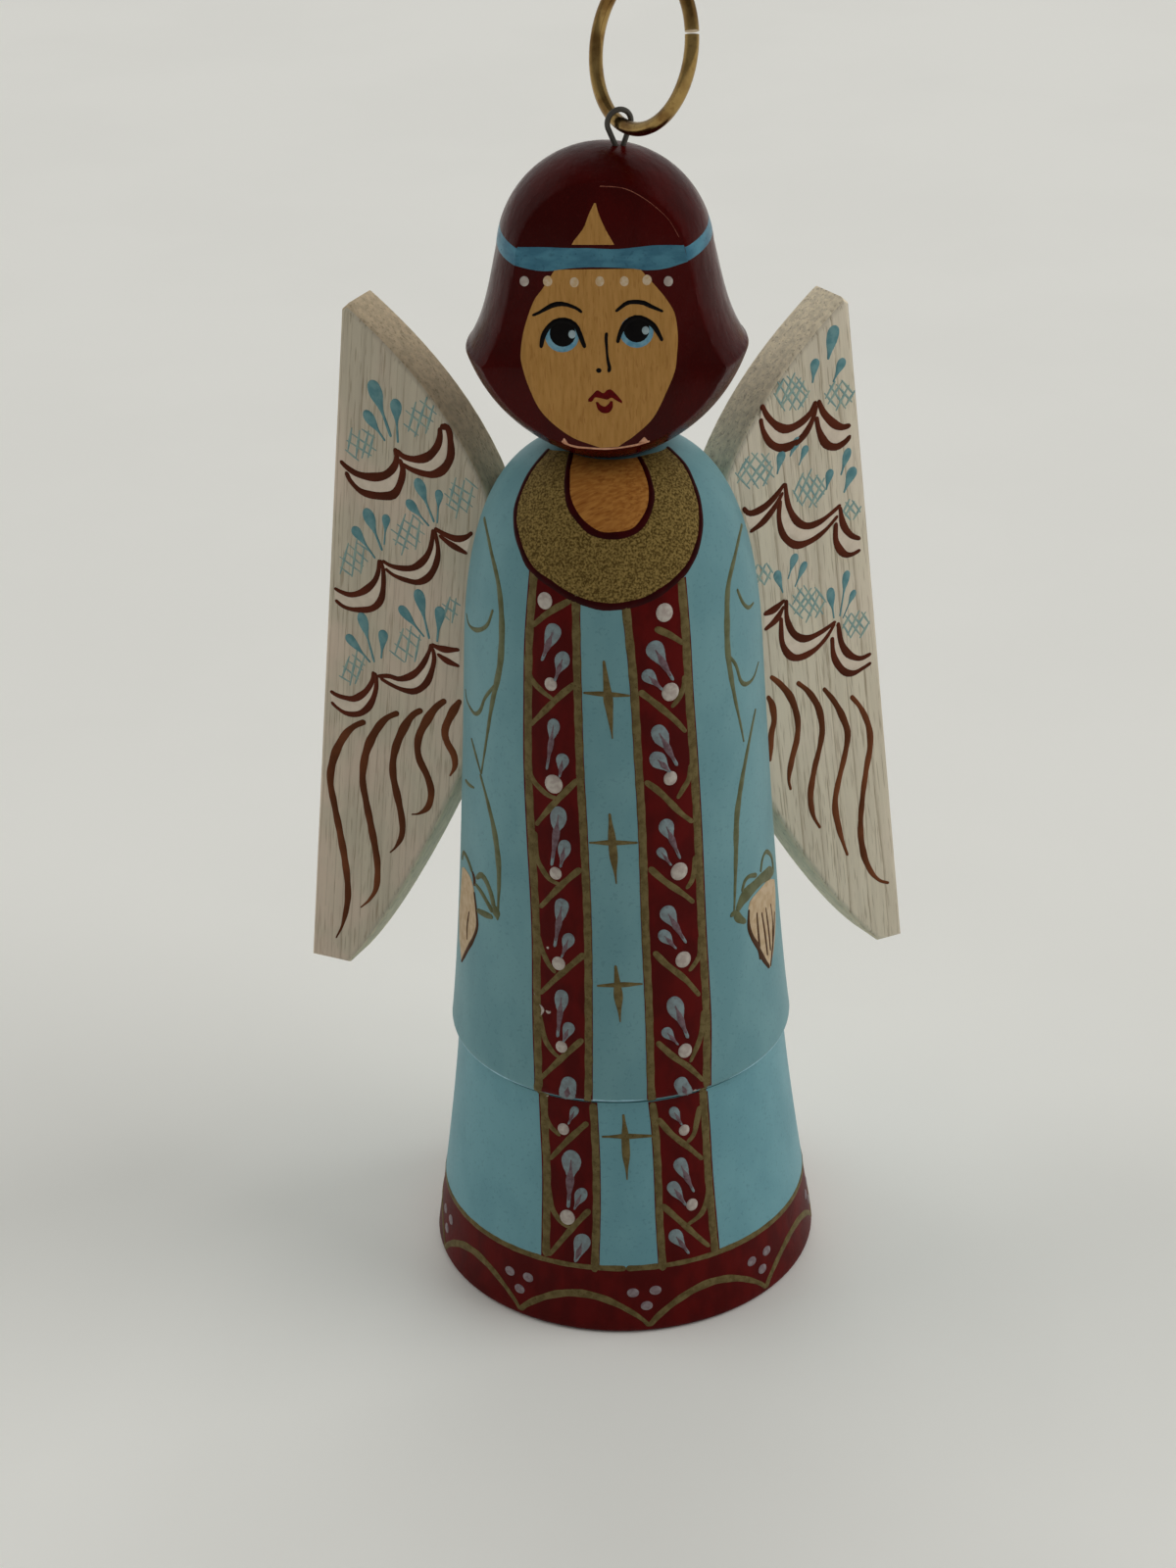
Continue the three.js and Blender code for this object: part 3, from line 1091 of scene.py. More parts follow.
    def drop(self, drop: Drop, neck: float, height: float) -> None:
        """Sets a drop with a round head and a thin tail.

        Args:
            drop: Its head and tail.
            neck: Over how many radii the head narrows to the tail.
            height: Thickness of the paint.
        """
        radius = drop.radius
        way = Vector(drop.head) - Vector(drop.tail)
        top = Vector(drop.head) + way.normalized() * radius * self.PIXELS_PER_MM
        length = radius + way.length / self.PIXELS_PER_MM
        widths = []
        for stop in range(self.DROP_STOPS + 1):
            past_middle = length * stop / self.DROP_STOPS - radius
            widths.append(radius * blend(past_middle / (neck * radius), 2.0, self.DROP_TAIL))
        self.stroke((tuple(top), drop.head, drop.tail), tuple(widths), height)

    def dab(self, pixel: Pixel, radii: Pair, height: float) -> None:
        """Sets a round dab at a pixel."""
        self.dab_at(self.surface.seen(self.camera, pixel), radii, height)

    def dabs(self, pixels: Path, touch: Touch) -> None:
        """Sets round dabs that are all of one kind."""
        for pixel in pixels:
            self.dab(pixel, *touch)

    def dab_at(self, place: Vector, radii: Pair, height: float) -> None:
        """Sets a round dab.

        Args:
            place: Its middle.
            radii: Half of its width and half of its height.
            height: How far it stands up.
        """
        up = self.surface.outward(place)
        across = Vector((0.0, 0.0, 1.0)).cross(up).normalized()
        Bench.clear()
        bpy.ops.mesh.primitive_uv_sphere_add(
            segments=self.DOME_SIDES, ring_count=self.DOME_RINGS, radius=1.0
        )
        dome = bpy.context.object
        axes = Matrix((across * radii[0], up.cross(across) * radii[1], up * height))
        turned = axes.transposed().to_4x4()
        dome.matrix_world = Matrix.Scale(MM, 4) @ Matrix.Translation(place) @ turned
        bpy.ops.object.transform_apply(location=True, rotation=True, scale=True)
        self.domes.append(dome)

    def done(self) -> bpy.types.Object:
        """Joins what was laid into one piece on the figure."""
        pieces = list(self.domes)
        if self.sheets:
            shell = Bench.join(self.name, self.sheets)
            Bench.mend(shell)
            Bench.apply(shell, "SOLIDIFY", thickness=self.SHELL * MM, offset=-1.0)
            pieces.insert(0, shell)
        piece = Bench.join(self.name, pieces)
        Bench.dress(piece, self.finish)
        Bench.smooth(piece, self.CREASE)
        Bench.stand(piece, Body.FIGURE)
        return piece


NECK_RADIUS = 4.65
DOWEL_HOLE: Pair = (3.2, 13.0)


@dataclass
class Dress:
    """The turned skirt and robe, glued together at the seam."""

    skirt_height: float = 25.2
    base_radius: float = 19.4
    foot_rounding: float = 0.6
    waist: Pair = (17.0, 16.5)
    top_radius: float = 16.25
    spigot_radius: float = 8.0
    spigot_length: float = 11.0
    socket_room: float = 1.0
    hem_band: float = 7.2
    glue_line: float = 0.15
    robe_height: float = 61.85
    hem_overhang: float = 0.7
    hem_rounding: float = 0.95
    flare: Pair = (15.7, 10.7)
    chest: Pair = (14.1, 19.2)
    upper_arm: Pair = (13.6, 10.2)
    shoulder: Pair = (11.6, 1.2)
    clearance: float = 0.2
    ROUNDING_STEPS: ClassVar[int] = 6
    SKIRT_STEPS: ClassVar[int] = 40
    SIDE_STEPS: ClassVar[int] = 36
    SHOULDER_STEPS: ClassVar[int] = 40

    @property
    def robe_bottom(self) -> float:
        """Height of the robe's lower face."""
        return self.skirt_height + self.glue_line

    @property
    def robe_top(self) -> float:
        """Height of the neck."""
        return self.robe_bottom + self.robe_height

    def skirt_side(self) -> Outline:
        """Outside of the skirt, with a point at the top of its hem band."""
        corners = [
            (self.base_radius, self.foot_rounding), self.waist,
            (self.top_radius, self.skirt_height),
        ]
        side = curve(corners, self.SKIRT_STEPS)
        radius, _ = TurnedFace(side).profile(self.hem_band)
        return sorted([*side, (radius, self.hem_band)], key=lambda point: point[1])

    def robe_side(self) -> Outline:
        """Outside of the robe from its hem over the shoulder to the neck."""
        hem = self.top_radius + self.hem_overhang
        hem_top = self.robe_bottom + self.hem_rounding
        chest = (self.chest[0], self.robe_top - self.chest[1])
        side = [(hem, hem_top), (self.flare[0], self.robe_bottom + self.flare[1]), chest]
        shoulder = [chest]
        shoulder += [
            (radius, self.robe_top - drop) for radius, drop in (self.upper_arm, self.shoulder)
        ]
        shoulder.append((NECK_RADIUS, self.robe_top))
        inner = hem - self.hem_rounding
        rounding = arc(inner, hem_top, self.hem_rounding, -90, 0, self.ROUNDING_STEPS)
        upper = [*curve(side, self.SIDE_STEPS)[1:], *curve(shoulder, self.SHOULDER_STEPS)[1:]]
        return [*rounding, *upper]

    def face(self) -> TurnedFace:
        """The outside that the paint lies on."""
        return TurnedFace([*self.skirt_side(), *self.robe_side()])

    def build_skirt(self) -> None:
        """Turns the skirt with its spigot and paints its hem band."""
        foot = self.base_radius - self.foot_rounding
        spigot_top = self.skirt_height + self.spigot_length
        rounding = self.foot_rounding
        outline = [(0.0, 0.0), *arc(foot, rounding, rounding, -90, 0, self.ROUNDING_STEPS)]
        outline += self.skirt_side()[1:]
        outline += [(self.spigot_radius, height) for height in (self.skirt_height, spigot_top)]
        outline.append((0.0, spigot_top))
        skirt = Bench.turn("skirt_turning", outline)
        Bench.dress(skirt, SKIRT_BLUE, BAND_MAROON)
        for panel in skirt.data.polygons:
            panel.material_index = int(panel.center.z < self.hem_band * MM)
        Bench.smooth(skirt)
        Bench.stand(skirt, Body.FIGURE, Slot.ROBE, "skirt")

    def build_robe(self, slots: list[bpy.types.Object]) -> None:
        """Turns the robe with its two sockets and cuts the wing slots.

        Args:
            slots: Boards the size of the slots, used up by the cut.
        """
        socket_radius = self.spigot_radius + self.clearance
        socket_top = self.skirt_height + self.spigot_length + self.socket_room
        hole_radius, hole_depth = DOWEL_HOLE
        hole_bottom = self.robe_top - hole_depth
        outline = [
            (0.0, socket_top), (socket_radius, socket_top), (socket_radius, self.robe_bottom),
        ]
        outline += self.robe_side()
        outline += [(hole_radius, self.robe_top), (hole_radius, hole_bottom), (0.0, hole_bottom)]
        robe = Bench.turn("robe_turning", outline)
        for slot in slots:
            Bench.apply(robe, "BOOLEAN", operation="DIFFERENCE", solver="EXACT", object=slot)
            bpy.data.objects.remove(slot)
        Bench.dress(robe, ROBE_BLUE)
        Bench.smooth(robe)
        Bench.stand(robe, Body.FIGURE, Slot.ROBE, "robe")


@dataclass
class Head:
    """The turned hair with its flat sliced face and painted headband.

    An edge of the headband has its height on the axis and its rise to the right and to the back.
    """

    bottom: float = 87.35
    height: float = 27.7
    jaw: Pair = (10.8, 3.3)
    bob: Pair = (12.8, 9.8)
    lip_rounding: float = 0.5
    hair: Pair = (10.8, 13.7)
    hair_swell: Pair = (0.35, 1.5)
    crown_radius: float = 9.76
    crown_arc: Pair = (5.0, 85.0)
    lip_arc: Pair = (0.0, 60.0)
    face_depth: float = 6.2
    face_height: float = 16.7
    face_lean: float = 4.5
    face_turn: float = 3.0
    face_edge: float = 0.12
    headband: tuple[Triple, Triple] = ((106.9, 0.031, 0.113), (108.35, 0.012, 0.13))
    CUT: ClassVar[float] = 0.0001
    ON_FACE: ClassVar[float] = 0.002
    FACING: ClassVar[float] = 0.999
    CREASE: ClassVar[float] = 28.0
    JAW_STEPS: ClassVar[int] = 24
    LIP_STEPS: ClassVar[int] = 6
    SWELL_STEPS: ClassVar[int] = 14
    CROWN_STEPS: ClassVar[int] = 36

    def face(self) -> FlatFace:
        """The flat face."""
        lean = Matrix.Rotation(-math.radians(self.face_lean), 3, "X")
        turn = Matrix.Rotation(-math.radians(self.face_turn), 3, "Z")
        normal = turn @ lean @ Vector((0.0, -1.0, 0.0))
        middle = Vector((0.0, 0.0, self.bottom + self.face_height))
        return FlatFace(middle + normal * self.face_depth, normal)

    def outline(self) -> Outline:
        """Profile of the hair from the dowel hole over the jaw to the crown."""
        lip = self.bottom + self.bob[1] - self.lip_rounding
        top = self.bottom + self.height
        crown = top - self.crown_radius
        hole_radius, hole_depth = DOWEL_HOLE
        hole_top = self.bottom + hole_depth
        hole = [(0.0, hole_top), (hole_radius, hole_top), (hole_radius, self.bottom)]
        chin = (self.jaw[0], self.bottom + self.jaw[1])
        jaw = curve([(NECK_RADIUS, self.bottom), chin, (self.bob[0], lip)], self.JAW_STEPS)
        lip_middle = self.bob[0] - self.lip_rounding
        rounding = arc(lip_middle, lip, self.lip_rounding, *self.lip_arc, self.LIP_STEPS)
        hair = (self.hair[0], self.bottom + self.hair[1])
        over = arc(0.0, crown, self.crown_radius, *self.crown_arc, self.CROWN_STEPS)
        bulge = (hair[0] + self.hair_swell[0], hair[1] - self.hair_swell[1])
        swell = curve([rounding[-1], bulge, hair, over[0]], self.SWELL_STEPS)
        return [*hole, *jaw, *rounding[1:], *swell[1:], *over[1:], (0.0, top)]

    def build(self) -> None:
        """Turns the hair, slices the face off it and paints the headband."""
        head = Bench.turn("head_turning", self.outline())
        face = self.face()
        Bench.edit(head, "FACE")
        bpy.ops.mesh.select_all(action="SELECT")
        cut = self.CUT * MM
        bpy.ops.mesh.bisect(
            plane_co=face.origin * MM, plane_no=face.normal, threshold=cut, use_fill=True,
            clear_outer=True,
        )
        bpy.ops.mesh.select_mode(type="FACE")
        bpy.ops.mesh.inset(thickness=self.face_edge * MM)
        Bench.leave()
        self.ease_edge(head, face)
        Bench.edit(head, "FACE")
        edges = [
            FlatFace(Vector((0, 0, height)), Vector((-aside, -back, 1)))
            for height, aside, back in self.headband
        ]
        for edge in edges:
            bpy.ops.mesh.select_all(action="SELECT")
            bpy.ops.mesh.bisect(plane_co=edge.origin * MM, plane_no=edge.normal, threshold=cut)
        Bench.leave()
        Bench.mend(head)
        Bench.dress(head, HAIR_MAROON, HEADBAND_BLUE)
        for panel in head.data.polygons:
            place = panel.center / MM
            over_low, over_high = ((place - edge.origin).dot(edge.normal) > 0 for edge in edges)
            on_face = panel.normal.dot(face.normal) > self.FACING
            panel.material_index = int(over_low and not over_high and not on_face)
        Bench.smooth(head, self.CREASE)
        Bench.stand(head, Body.FIGURE, Slot.HAIR, "head")

    def ease_edge(self, head: bpy.types.Object, face: FlatFace) -> None:
        """Sinks the rim of the face a little, which takes the sharpness off its edge.

        Args:
            head: The sliced head with its face inset.
            face: The flat face.
        """
        panels = [panel for panel in head.data.polygons if panel.select]
        flat = {corner for panel in panels for corner in panel.vertices}
        for corner in head.data.vertices:
            stand_off = (corner.co / MM - face.origin).dot(face.normal)
            if abs(stand_off) < self.ON_FACE and corner.index not in flat:
                corner.co -= face.normal * self.face_edge / 2 * MM


@dataclass
class WingBoard:
    """One flat wing, let into a slot in the robe. Outline: across from the outer edge, along it."""

    name: str
    side: int
    sweep: float
    let_in: float
    middle: float
    upper_length: float
    lower_tip_width: float
    feather_width: float
    trail_inset: float
    wash: Colour
    blush: Colour
    rim: Colour
    ring_share: float
    ring_gap: float
    thickness: float = 5.0
    edge_rounding: float = 0.6
    lean: float = 6.65
    apex: Pair = (20.5, 8.0)
    lower_length: float = 36.0
    tip_slant: float = 0.7
    feather_rise: float = 7.5
    trail_run: float = 15.0
    arm: Pair = (0.5, 19.3)
    shoulder: Pair = (4.5, 2.4)
    upper_tip_width: float = 0.6
    CURVE_STEPS: ClassVar[int] = 20
    EDGE_STEPS: ClassVar[int] = 4
    FLAT: ClassVar[float] = 0.9
    UPRIGHT: ClassVar[float] = 0.8
    WASH_SHADE: ClassVar[float] = 0.95
    RIM_SHADE: ClassVar[float] = 0.9
    WASH_PORE: ClassVar[Colour] = (132, 112, 84)
    RIM_PORE: ClassVar[Colour] = (112, 88, 62)
    HEEL: ClassVar[tuple[Colour, Colour, Colour]] = (
        (230, 216, 188), (214, 202, 176), (150, 140, 120),
    )

    def outline(self) -> Outline:
        """The board's outline, round once."""
        foot = self.tip_slant - self.lower_length
        deep, level = self.apex
        feather = (self.feather_width, foot + self.feather_rise)
        trail = (deep - self.trail_inset, level - self.trail_run)
        arm = (deep - self.arm[0], level + self.arm[1])
        shoulder = (self.shoulder[0], self.upper_length - self.shoulder[1])
        tip = (self.upper_tip_width, self.upper_length)
        heel = (self.lower_tip_width, foot)
        trailing = curve([heel, feather, trail, self.apex], self.CURVE_STEPS)
        leading = curve([self.apex, arm, shoulder, tip], self.CURVE_STEPS)
        ends = [(0.0, -self.lower_length), (0.0, self.upper_length - self.tip_slant)]
        return [ends[0], *trailing, *leading[1:], ends[1]]

    def place(self, dress: Dress) -> Matrix:
        """Where the board stands.

        Args:
            dress: The robe that it is let into.

        Returns:
            The turn and move from the board's own outline to the figure, in millimetres.
        """
        lean = math.radians(self.lean)
        reach = self.apex[0] * math.cos(lean) + self.apex[1] * math.sin(lean)
        rise = self.apex[1] * math.cos(lean) - self.apex[0] * math.sin(lean)
        robe_radius, _ = TurnedFace(dress.robe_side()).profile(self.middle + rise)
        across = Vector((-math.cos(lean), 0.0, -math.sin(lean)))
        along = Vector((-math.sin(lean), 0.0, math.cos(lean)))
        standing = Matrix((across, along, Vector((0.0, 1.0, 0.0)))).transposed().to_4x4()
        sweep = math.radians(self.sweep)
        turn = Matrix.Rotation(sweep if self.side > 0 else math.pi - sweep, 4, "Z")
        move = Matrix.Translation((robe_radius - self.let_in + reach, 0.0, self.middle))
        return turn @ move @ standing

    def board(self, name: str, place: Matrix, thickness: float) -> bpy.types.Object:
        """Cuts a square-edged board to the outline and stands it in its place.

        Args:
            name: Name of the piece.
            place: Where it stands.
            thickness: Its thickness.

        Returns:
            The board.
        """
        outline = self.outline()
        Bench.clear()
        bpy.ops.mesh.primitive_circle_add(vertices=len(outline), radius=MM, fill_type="NGON")
        board = Bench.begin(name)
        for corner, (across, along) in zip(board.data.vertices, outline):
            corner.co = (across * MM, along * MM, -thickness / 2 * MM)
        Bench.edit(board, "FACE")
        bpy.ops.mesh.select_all(action="SELECT")
        bpy.ops.mesh.extrude_region_move(TRANSFORM_OT_translate={"value": (0, 0, thickness * MM)})
        Bench.leave()
        Bench.only(board)
        board.matrix_world = Matrix.Scale(MM, 4) @ place @ Matrix.Scale(1 / MM, 4)
        bpy.ops.object.transform_apply(location=True, rotation=True, scale=True)
        Bench.mend(board)
        return board

    def slot(self, dress: Dress) -> bpy.types.Object:
        """A board a little larger than the wing, to cut its slot with."""
        return self.board(f"{self.name}_slot", self.place(dress), self.thickness + dress.clearance)

    def face(self, dress: Dress) -> FlatFace:
        """The painted front face."""
        place = self.place(dress)
        out = Vector((0.0, 0.0, -self.side))
        normal = place.to_3x3() @ out
        return FlatFace(place @ (out * self.thickness / 2), normal)

    @staticmethod
    def shade(colour: Colour, share: float) -> Colour:
        """A darker or lighter tone of a colour."""
        return tuple(round(part * share) for part in colour)

    def build(self, dress: Dress) -> None:
        """Cuts the board and rounds its edges."""
        place = self.place(dress)
        wing = self.board(f"{self.name}_board", place, self.thickness)
        thickness = place.to_3x3() @ Vector((0.0, 0.0, 1.0))
        Bench.edit(wing, "FACE")
        bpy.ops.mesh.select_all(action="DESELECT")
        Bench.leave()
        for panel in wing.data.polygons:
            panel.select = abs(panel.normal.dot(thickness)) > self.FLAT
        Bench.edit(wing, "FACE")
        bpy.ops.mesh.bevel(offset=self.edge_rounding * MM, segments=self.EDGE_STEPS)
        Bench.leave()
        turn = tuple(place.to_3x3().inverted().to_euler())
        wash = Wood(
            f"{self.name}_whitewash", self.wash, self.shade(self.wash, self.WASH_SHADE),
            self.WASH_PORE, pore_share=0.45, ring_share=self.ring_share, ring_gap=self.ring_gap,
            fibre=0.09, year=0.7, stretch=(1.0, 22.0, 1.0), turn=turn, stain=self.blush,
            stain_share=0.5, roughness=0.62,
        )
        rim = Wood(
            f"{self.name}_rim", self.rim, self.shade(self.rim, self.RIM_SHADE), self.RIM_PORE,
            pore_share=0.32, fibre=0.14, year=0.5, stretch=(1.0, 4.0, 1.0), turn=turn,
            roughness=0.7, depth=0.05,
        )
        heel = Wood(
            f"{self.name}_heel", *self.HEEL, pore_share=0.35, fibre=0.2, year=0.9,
            stretch=(1.0, 4.0, 1.0), turn=turn, roughness=0.65,
        )
        Bench.dress(wing, wash, rim, heel)
        # Up-facing edges take the rim tone: bare wood made lighter to paint in the light those
        # edges catch. Down-facing edges take the heel tone.
        for panel in wing.data.polygons:
            if abs(panel.normal.dot(thickness)) < self.UPRIGHT:
                panel.material_index = 1 if panel.normal.z > 0 else 2
        Bench.smooth(wing)
        Bench.stand(wing, Body.FIGURE, Slot.WING, self.name)


@dataclass
class Hanger:
    """The wire eye in the crown and the split brass ring in it."""

    eye_wire: float = 0.25
    eye_loop: float = 1.15
    eye_leg_spacing: float = 0.74
    eye_leg_depth: float = 6.0
    eye_stand_off: float = 2.05
    eye_offset: float = 1.45
    eye_foot: float = 114.942
    eye_turn: float = 25.0
    ring_wire: float = 0.625
    ring_radius: float = 6.95
    ring_turn: float = 56.5
    ring_lean: float = 14.9
    ring_slip: float = 10.8
    split_angle: float = 22.0
    split_width: float = 0.3
    EYE_STEPS: ClassVar[int] = 48
    RING_STEPS: ClassVar[int] = 120
    CREASE: ClassVar[float] = 40.0

    def eye_path(self) -> list[Vector]:
        """Middle line of the eye's wire, up one leg, over the loop and down the other."""
        half = self.eye_leg_spacing / 2
        reach = math.hypot(half, self.eye_stand_off)
        meets = math.acos(self.eye_loop / reach) - math.atan2(self.eye_stand_off, half)
        flat = [(half, -self.eye_leg_depth), (half, 0.0)]
        for step in range(self.EYE_STEPS + 1):
            angle = meets + (math.pi - 2 * meets) * step / self.EYE_STEPS
            rise = self.eye_stand_off + self.eye_loop * math.sin(angle)
            flat.append((self.eye_loop * math.cos(angle), rise))
        flat += [(-half, 0.0), (-half, -self.eye_leg_depth)]
        turn = Matrix.Rotation(math.radians(self.eye_turn), 3, "Z")
        foot = Vector((self.eye_offset, 0.0, self.eye_foot))
        return [foot + turn @ Vector((across, 0.0, rise)) for across, rise in flat]

    def ring_path(self) -> list[Vector]:
        """Middle line of the ring, from one end of the split round to the other."""
        angles = (self.ring_turn, self.ring_lean, self.ring_slip, self.split_angle)
        turn, lean, slip, start = (math.radians(angle) for angle in angles)
        across = Vector((math.cos(turn), -math.sin(turn), 0.0))
        flat = math.sin(lean)
        up = Vector((math.sin(turn) * flat, math.cos(turn) * flat, math.cos(lean)))
        centre = Vector((self.eye_offset, 0.0, self.eye_foot + self.eye_stand_off))
        centre += self.ring_radius * (math.sin(slip) * across + math.cos(slip) * up)
        split = self.split_width / self.ring_radius
        path = []
        for step in range(self.RING_STEPS + 1):
            angle = start + split / 2 + (2 * math.pi - split) * step / self.RING_STEPS
            way = math.cos(angle) * across + math.sin(angle) * up
            path.append(centre + self.ring_radius * way)
        return path

    def build(self) -> None:
        """Bends the eye and the ring."""
        eye = Bench.wire("wire_eye", self.eye_path(), self.eye_wire)
        Bench.dress(eye, BLACK_WIRE)
        Bench.smooth(eye, self.CREASE)
        Bench.stand(eye, Body.FIGURE, Slot.WIRE, "hanger_eye")
        ring = Bench.wire("split_ring", self.ring_path(), self.ring_wire)
        Bench.dress(ring, AGED_BRASS)
        Bench.smooth(ring, self.CREASE)
        Bench.stand(ring, Body.RING, Slot.BRASS, "hanger_ring")


@dataclass(frozen=True)
class Pearl:
    """A painted pearl: its middle as a pixel and its radius."""

    middle: Pixel
    radius: float


@dataclass(frozen=True)
class Band:
    """One upright band on the dress, as pixels: its edges on robe and skirt and its painting."""

    outer: Path
    inner: Path
    seam: tuple[Pixel, Pixel]
    skirt_outer: Path
    skirt_inner: Path
    lines: tuple[Path, ...]
    hooks: tuple[Path, ...]
    drops: tuple[Drop, ...]
    pearls: tuple[Pearl, ...]


LEFT_BAND = Band(
    outer=(
        (540, 580), (535, 650), (534, 707), (534, 778), (537, 850), (542, 944), (543, 1035),
        (545, 1116),
    ),
    inner=((592, 606), (593, 672), (596, 778), (600, 852), (604, 944), (605, 1035), (605, 1123.5)),
    seam=((545, 1111.4), (605, 1122.6)),
    skirt_outer=((549.5, 1114.5), (551, 1150), (553, 1200), (552, 1282)),
    skirt_inner=((609.5, 1125), (611, 1150), (613, 1200), (613, 1293)),
    lines=(
        ((583, 612), (560, 625), (543, 639)),
        ((588, 697), (575, 707), (563, 718), (550, 731), (541, 740)),
        ((590, 795), (569, 816), (553, 834), (547, 842)),
        ((593, 886), (573, 903), (551, 926)),
        ((597, 973), (571, 995), (551, 1014)),
        ((595, 1060), (573, 1080), (551, 1101)),
        ((600, 1145), (580, 1163), (561, 1183)),
        ((602, 1234), (584, 1253), (560, 1281)),
    ),
    hooks=(
        ((537, 668), (541, 690), (552, 704), (565, 714)),
        ((538, 772), (541, 790), (549, 802), (559, 811), (569, 815)),
        ((546, 848), (547, 872), (553, 886), (561, 897), (572, 903)),
        ((548, 952), (552, 966), (559, 982), (567, 993)),
        ((549, 1030), (552, 1044), (557, 1062), (565, 1074), (571, 1079)),
        ((553, 1130), (561, 1148), (572, 1159)),
        ((559, 1205), (561, 1222), (565, 1236), (574, 1248), (583, 1253)),
    ),
    drops=(
        Drop((564, 646), (553, 674), 0.95), Drop((574, 673), (566, 695), 0.82),
        Drop((565, 741), (558, 785), 0.75), Drop((574, 776), (571, 793), 0.7),
        Drop((570, 833), (563, 883), 0.98), Drop((576, 865), (572, 885), 0.78),
        Drop((573, 926), (566, 966), 0.88), Drop((580, 959), (573, 977), 0.68),
        Drop((573, 1019), (569, 1058), 0.88), Drop((580, 1050), (575, 1063), 0.68),
        Drop((580, 1109), (578, 1121), 1.0), Drop((586, 1134), (580, 1147), 0.52),
        Drop((583, 1185), (580, 1232), 1.12), Drop((593, 1219), (586, 1234), 0.7),
        Drop((594, 1268), (588, 1286), 0.92),
    ),
    pearls=(
        Pearl((556, 613), 0.75), Pearl((562, 698), 0.62), Pearl((565, 800), 0.9),
        Pearl((567, 891), 0.62), Pearl((570, 983), 0.68), Pearl((573, 1068), 0.6),
        Pearl((575, 1152), 0.6), Pearl((579, 1242), 0.78),
    ),
)
RIGHT_BAND = Band(
    outer=(
        (700, 588), (705, 650), (708, 707), (713, 778), (717, 850), (721, 944), (726, 1035),
        (726, 1109),
    ),
    inner=((634, 616), (642, 695), (647, 778), (651, 852), (654, 944), (658, 1035), (660, 1122.5)),
    seam=((726, 1107.2), (660, 1121.8)),
    skirt_outer=((722, 1110), (725, 1150), (728, 1200), (735, 1279)),
    skirt_inner=((661, 1124.5), (664, 1150), (667, 1200), (670, 1292)),
    lines=(
        ((668, 641), (684, 648), (698, 657)),
        ((652, 705), (674, 722), (690, 736), (700, 747)),
        ((658, 797), (674, 809), (694, 829), (707, 839)),
        ((662, 885), (678, 899), (697, 912), (708, 921)),
        ((667, 971), (680, 984), (699, 999), (714, 1016)),
        ((670, 1063), (687, 1078), (703, 1089), (718, 1103)),
        ((671, 1141), (685, 1157), (703, 1171), (717, 1183)),
        ((675, 1229), (694, 1246), (712, 1262), (724, 1272)),
    ),
    hooks=(
        ((699, 688), (698, 700), (692, 713), (685, 722)),
        ((706, 778), (703, 794), (697, 805), (691, 815)),
        ((710, 872), (708, 891), (705, 900), (700, 907)),
        ((715, 953), (714, 973), (709, 983), (703, 991)),
        ((718, 1030), (717, 1046), (714, 1060), (709, 1073), (704, 1084)),
        ((714, 1128), (711, 1144), (708, 1157), (701, 1166)),
        ((724, 1208), (721, 1225), (715, 1239), (701, 1250)),
    ),
    drops=(
        Drop((669, 664), (687, 694), 1.0), Drop((662, 690), (676, 704), 0.72),
        Drop((673, 749), (691, 781), 0.95), Drop((671, 775), (684, 788), 0.86),
        Drop((680, 844), (694, 876), 0.82), Drop((675, 870), (685, 883), 0.55),
        Drop((682, 933), (700, 962), 0.88), Drop((678, 955), (690, 968), 0.68),
        Drop((689, 1027), (702, 1059), 1.0), Drop((681, 1054), (692, 1066), 0.6),
        Drop((696, 1108), (701, 1117), 0.88), Drop((688, 1135), (696, 1148), 0.58),
        Drop((695, 1190), (708, 1216), 0.84), Drop((688, 1213), (700, 1230), 0.78),
        Drop((690, 1262), (703, 1279), 0.78),
    ),
    pearls=(
        Pearl((678, 625), 0.82), Pearl((684, 706), 0.85), Pearl((684, 794), 0.68),
        Pearl((693, 889), 0.86), Pearl((697, 979), 0.8), Pearl((699, 1072), 0.72),
        Pearl((698, 1153), 0.56), Pearl((706, 1229), 0.62),
    ),
)


@dataclass
class Painting:
    """Paint on one surface, placed by the photograph's pixels."""

    camera: PhotoCamera
    surface: Surface

    def brush(self, name: str, finish: Finish) -> Brush:
        """Takes up a brush for the surface."""
        return Brush(name, self.surface, self.camera, finish)

    @staticmethod
    def finish(*brushes: Brush) -> None:
        """Puts down brushes, each of which leaves one piece."""
        for brush in brushes:
            brush.done()


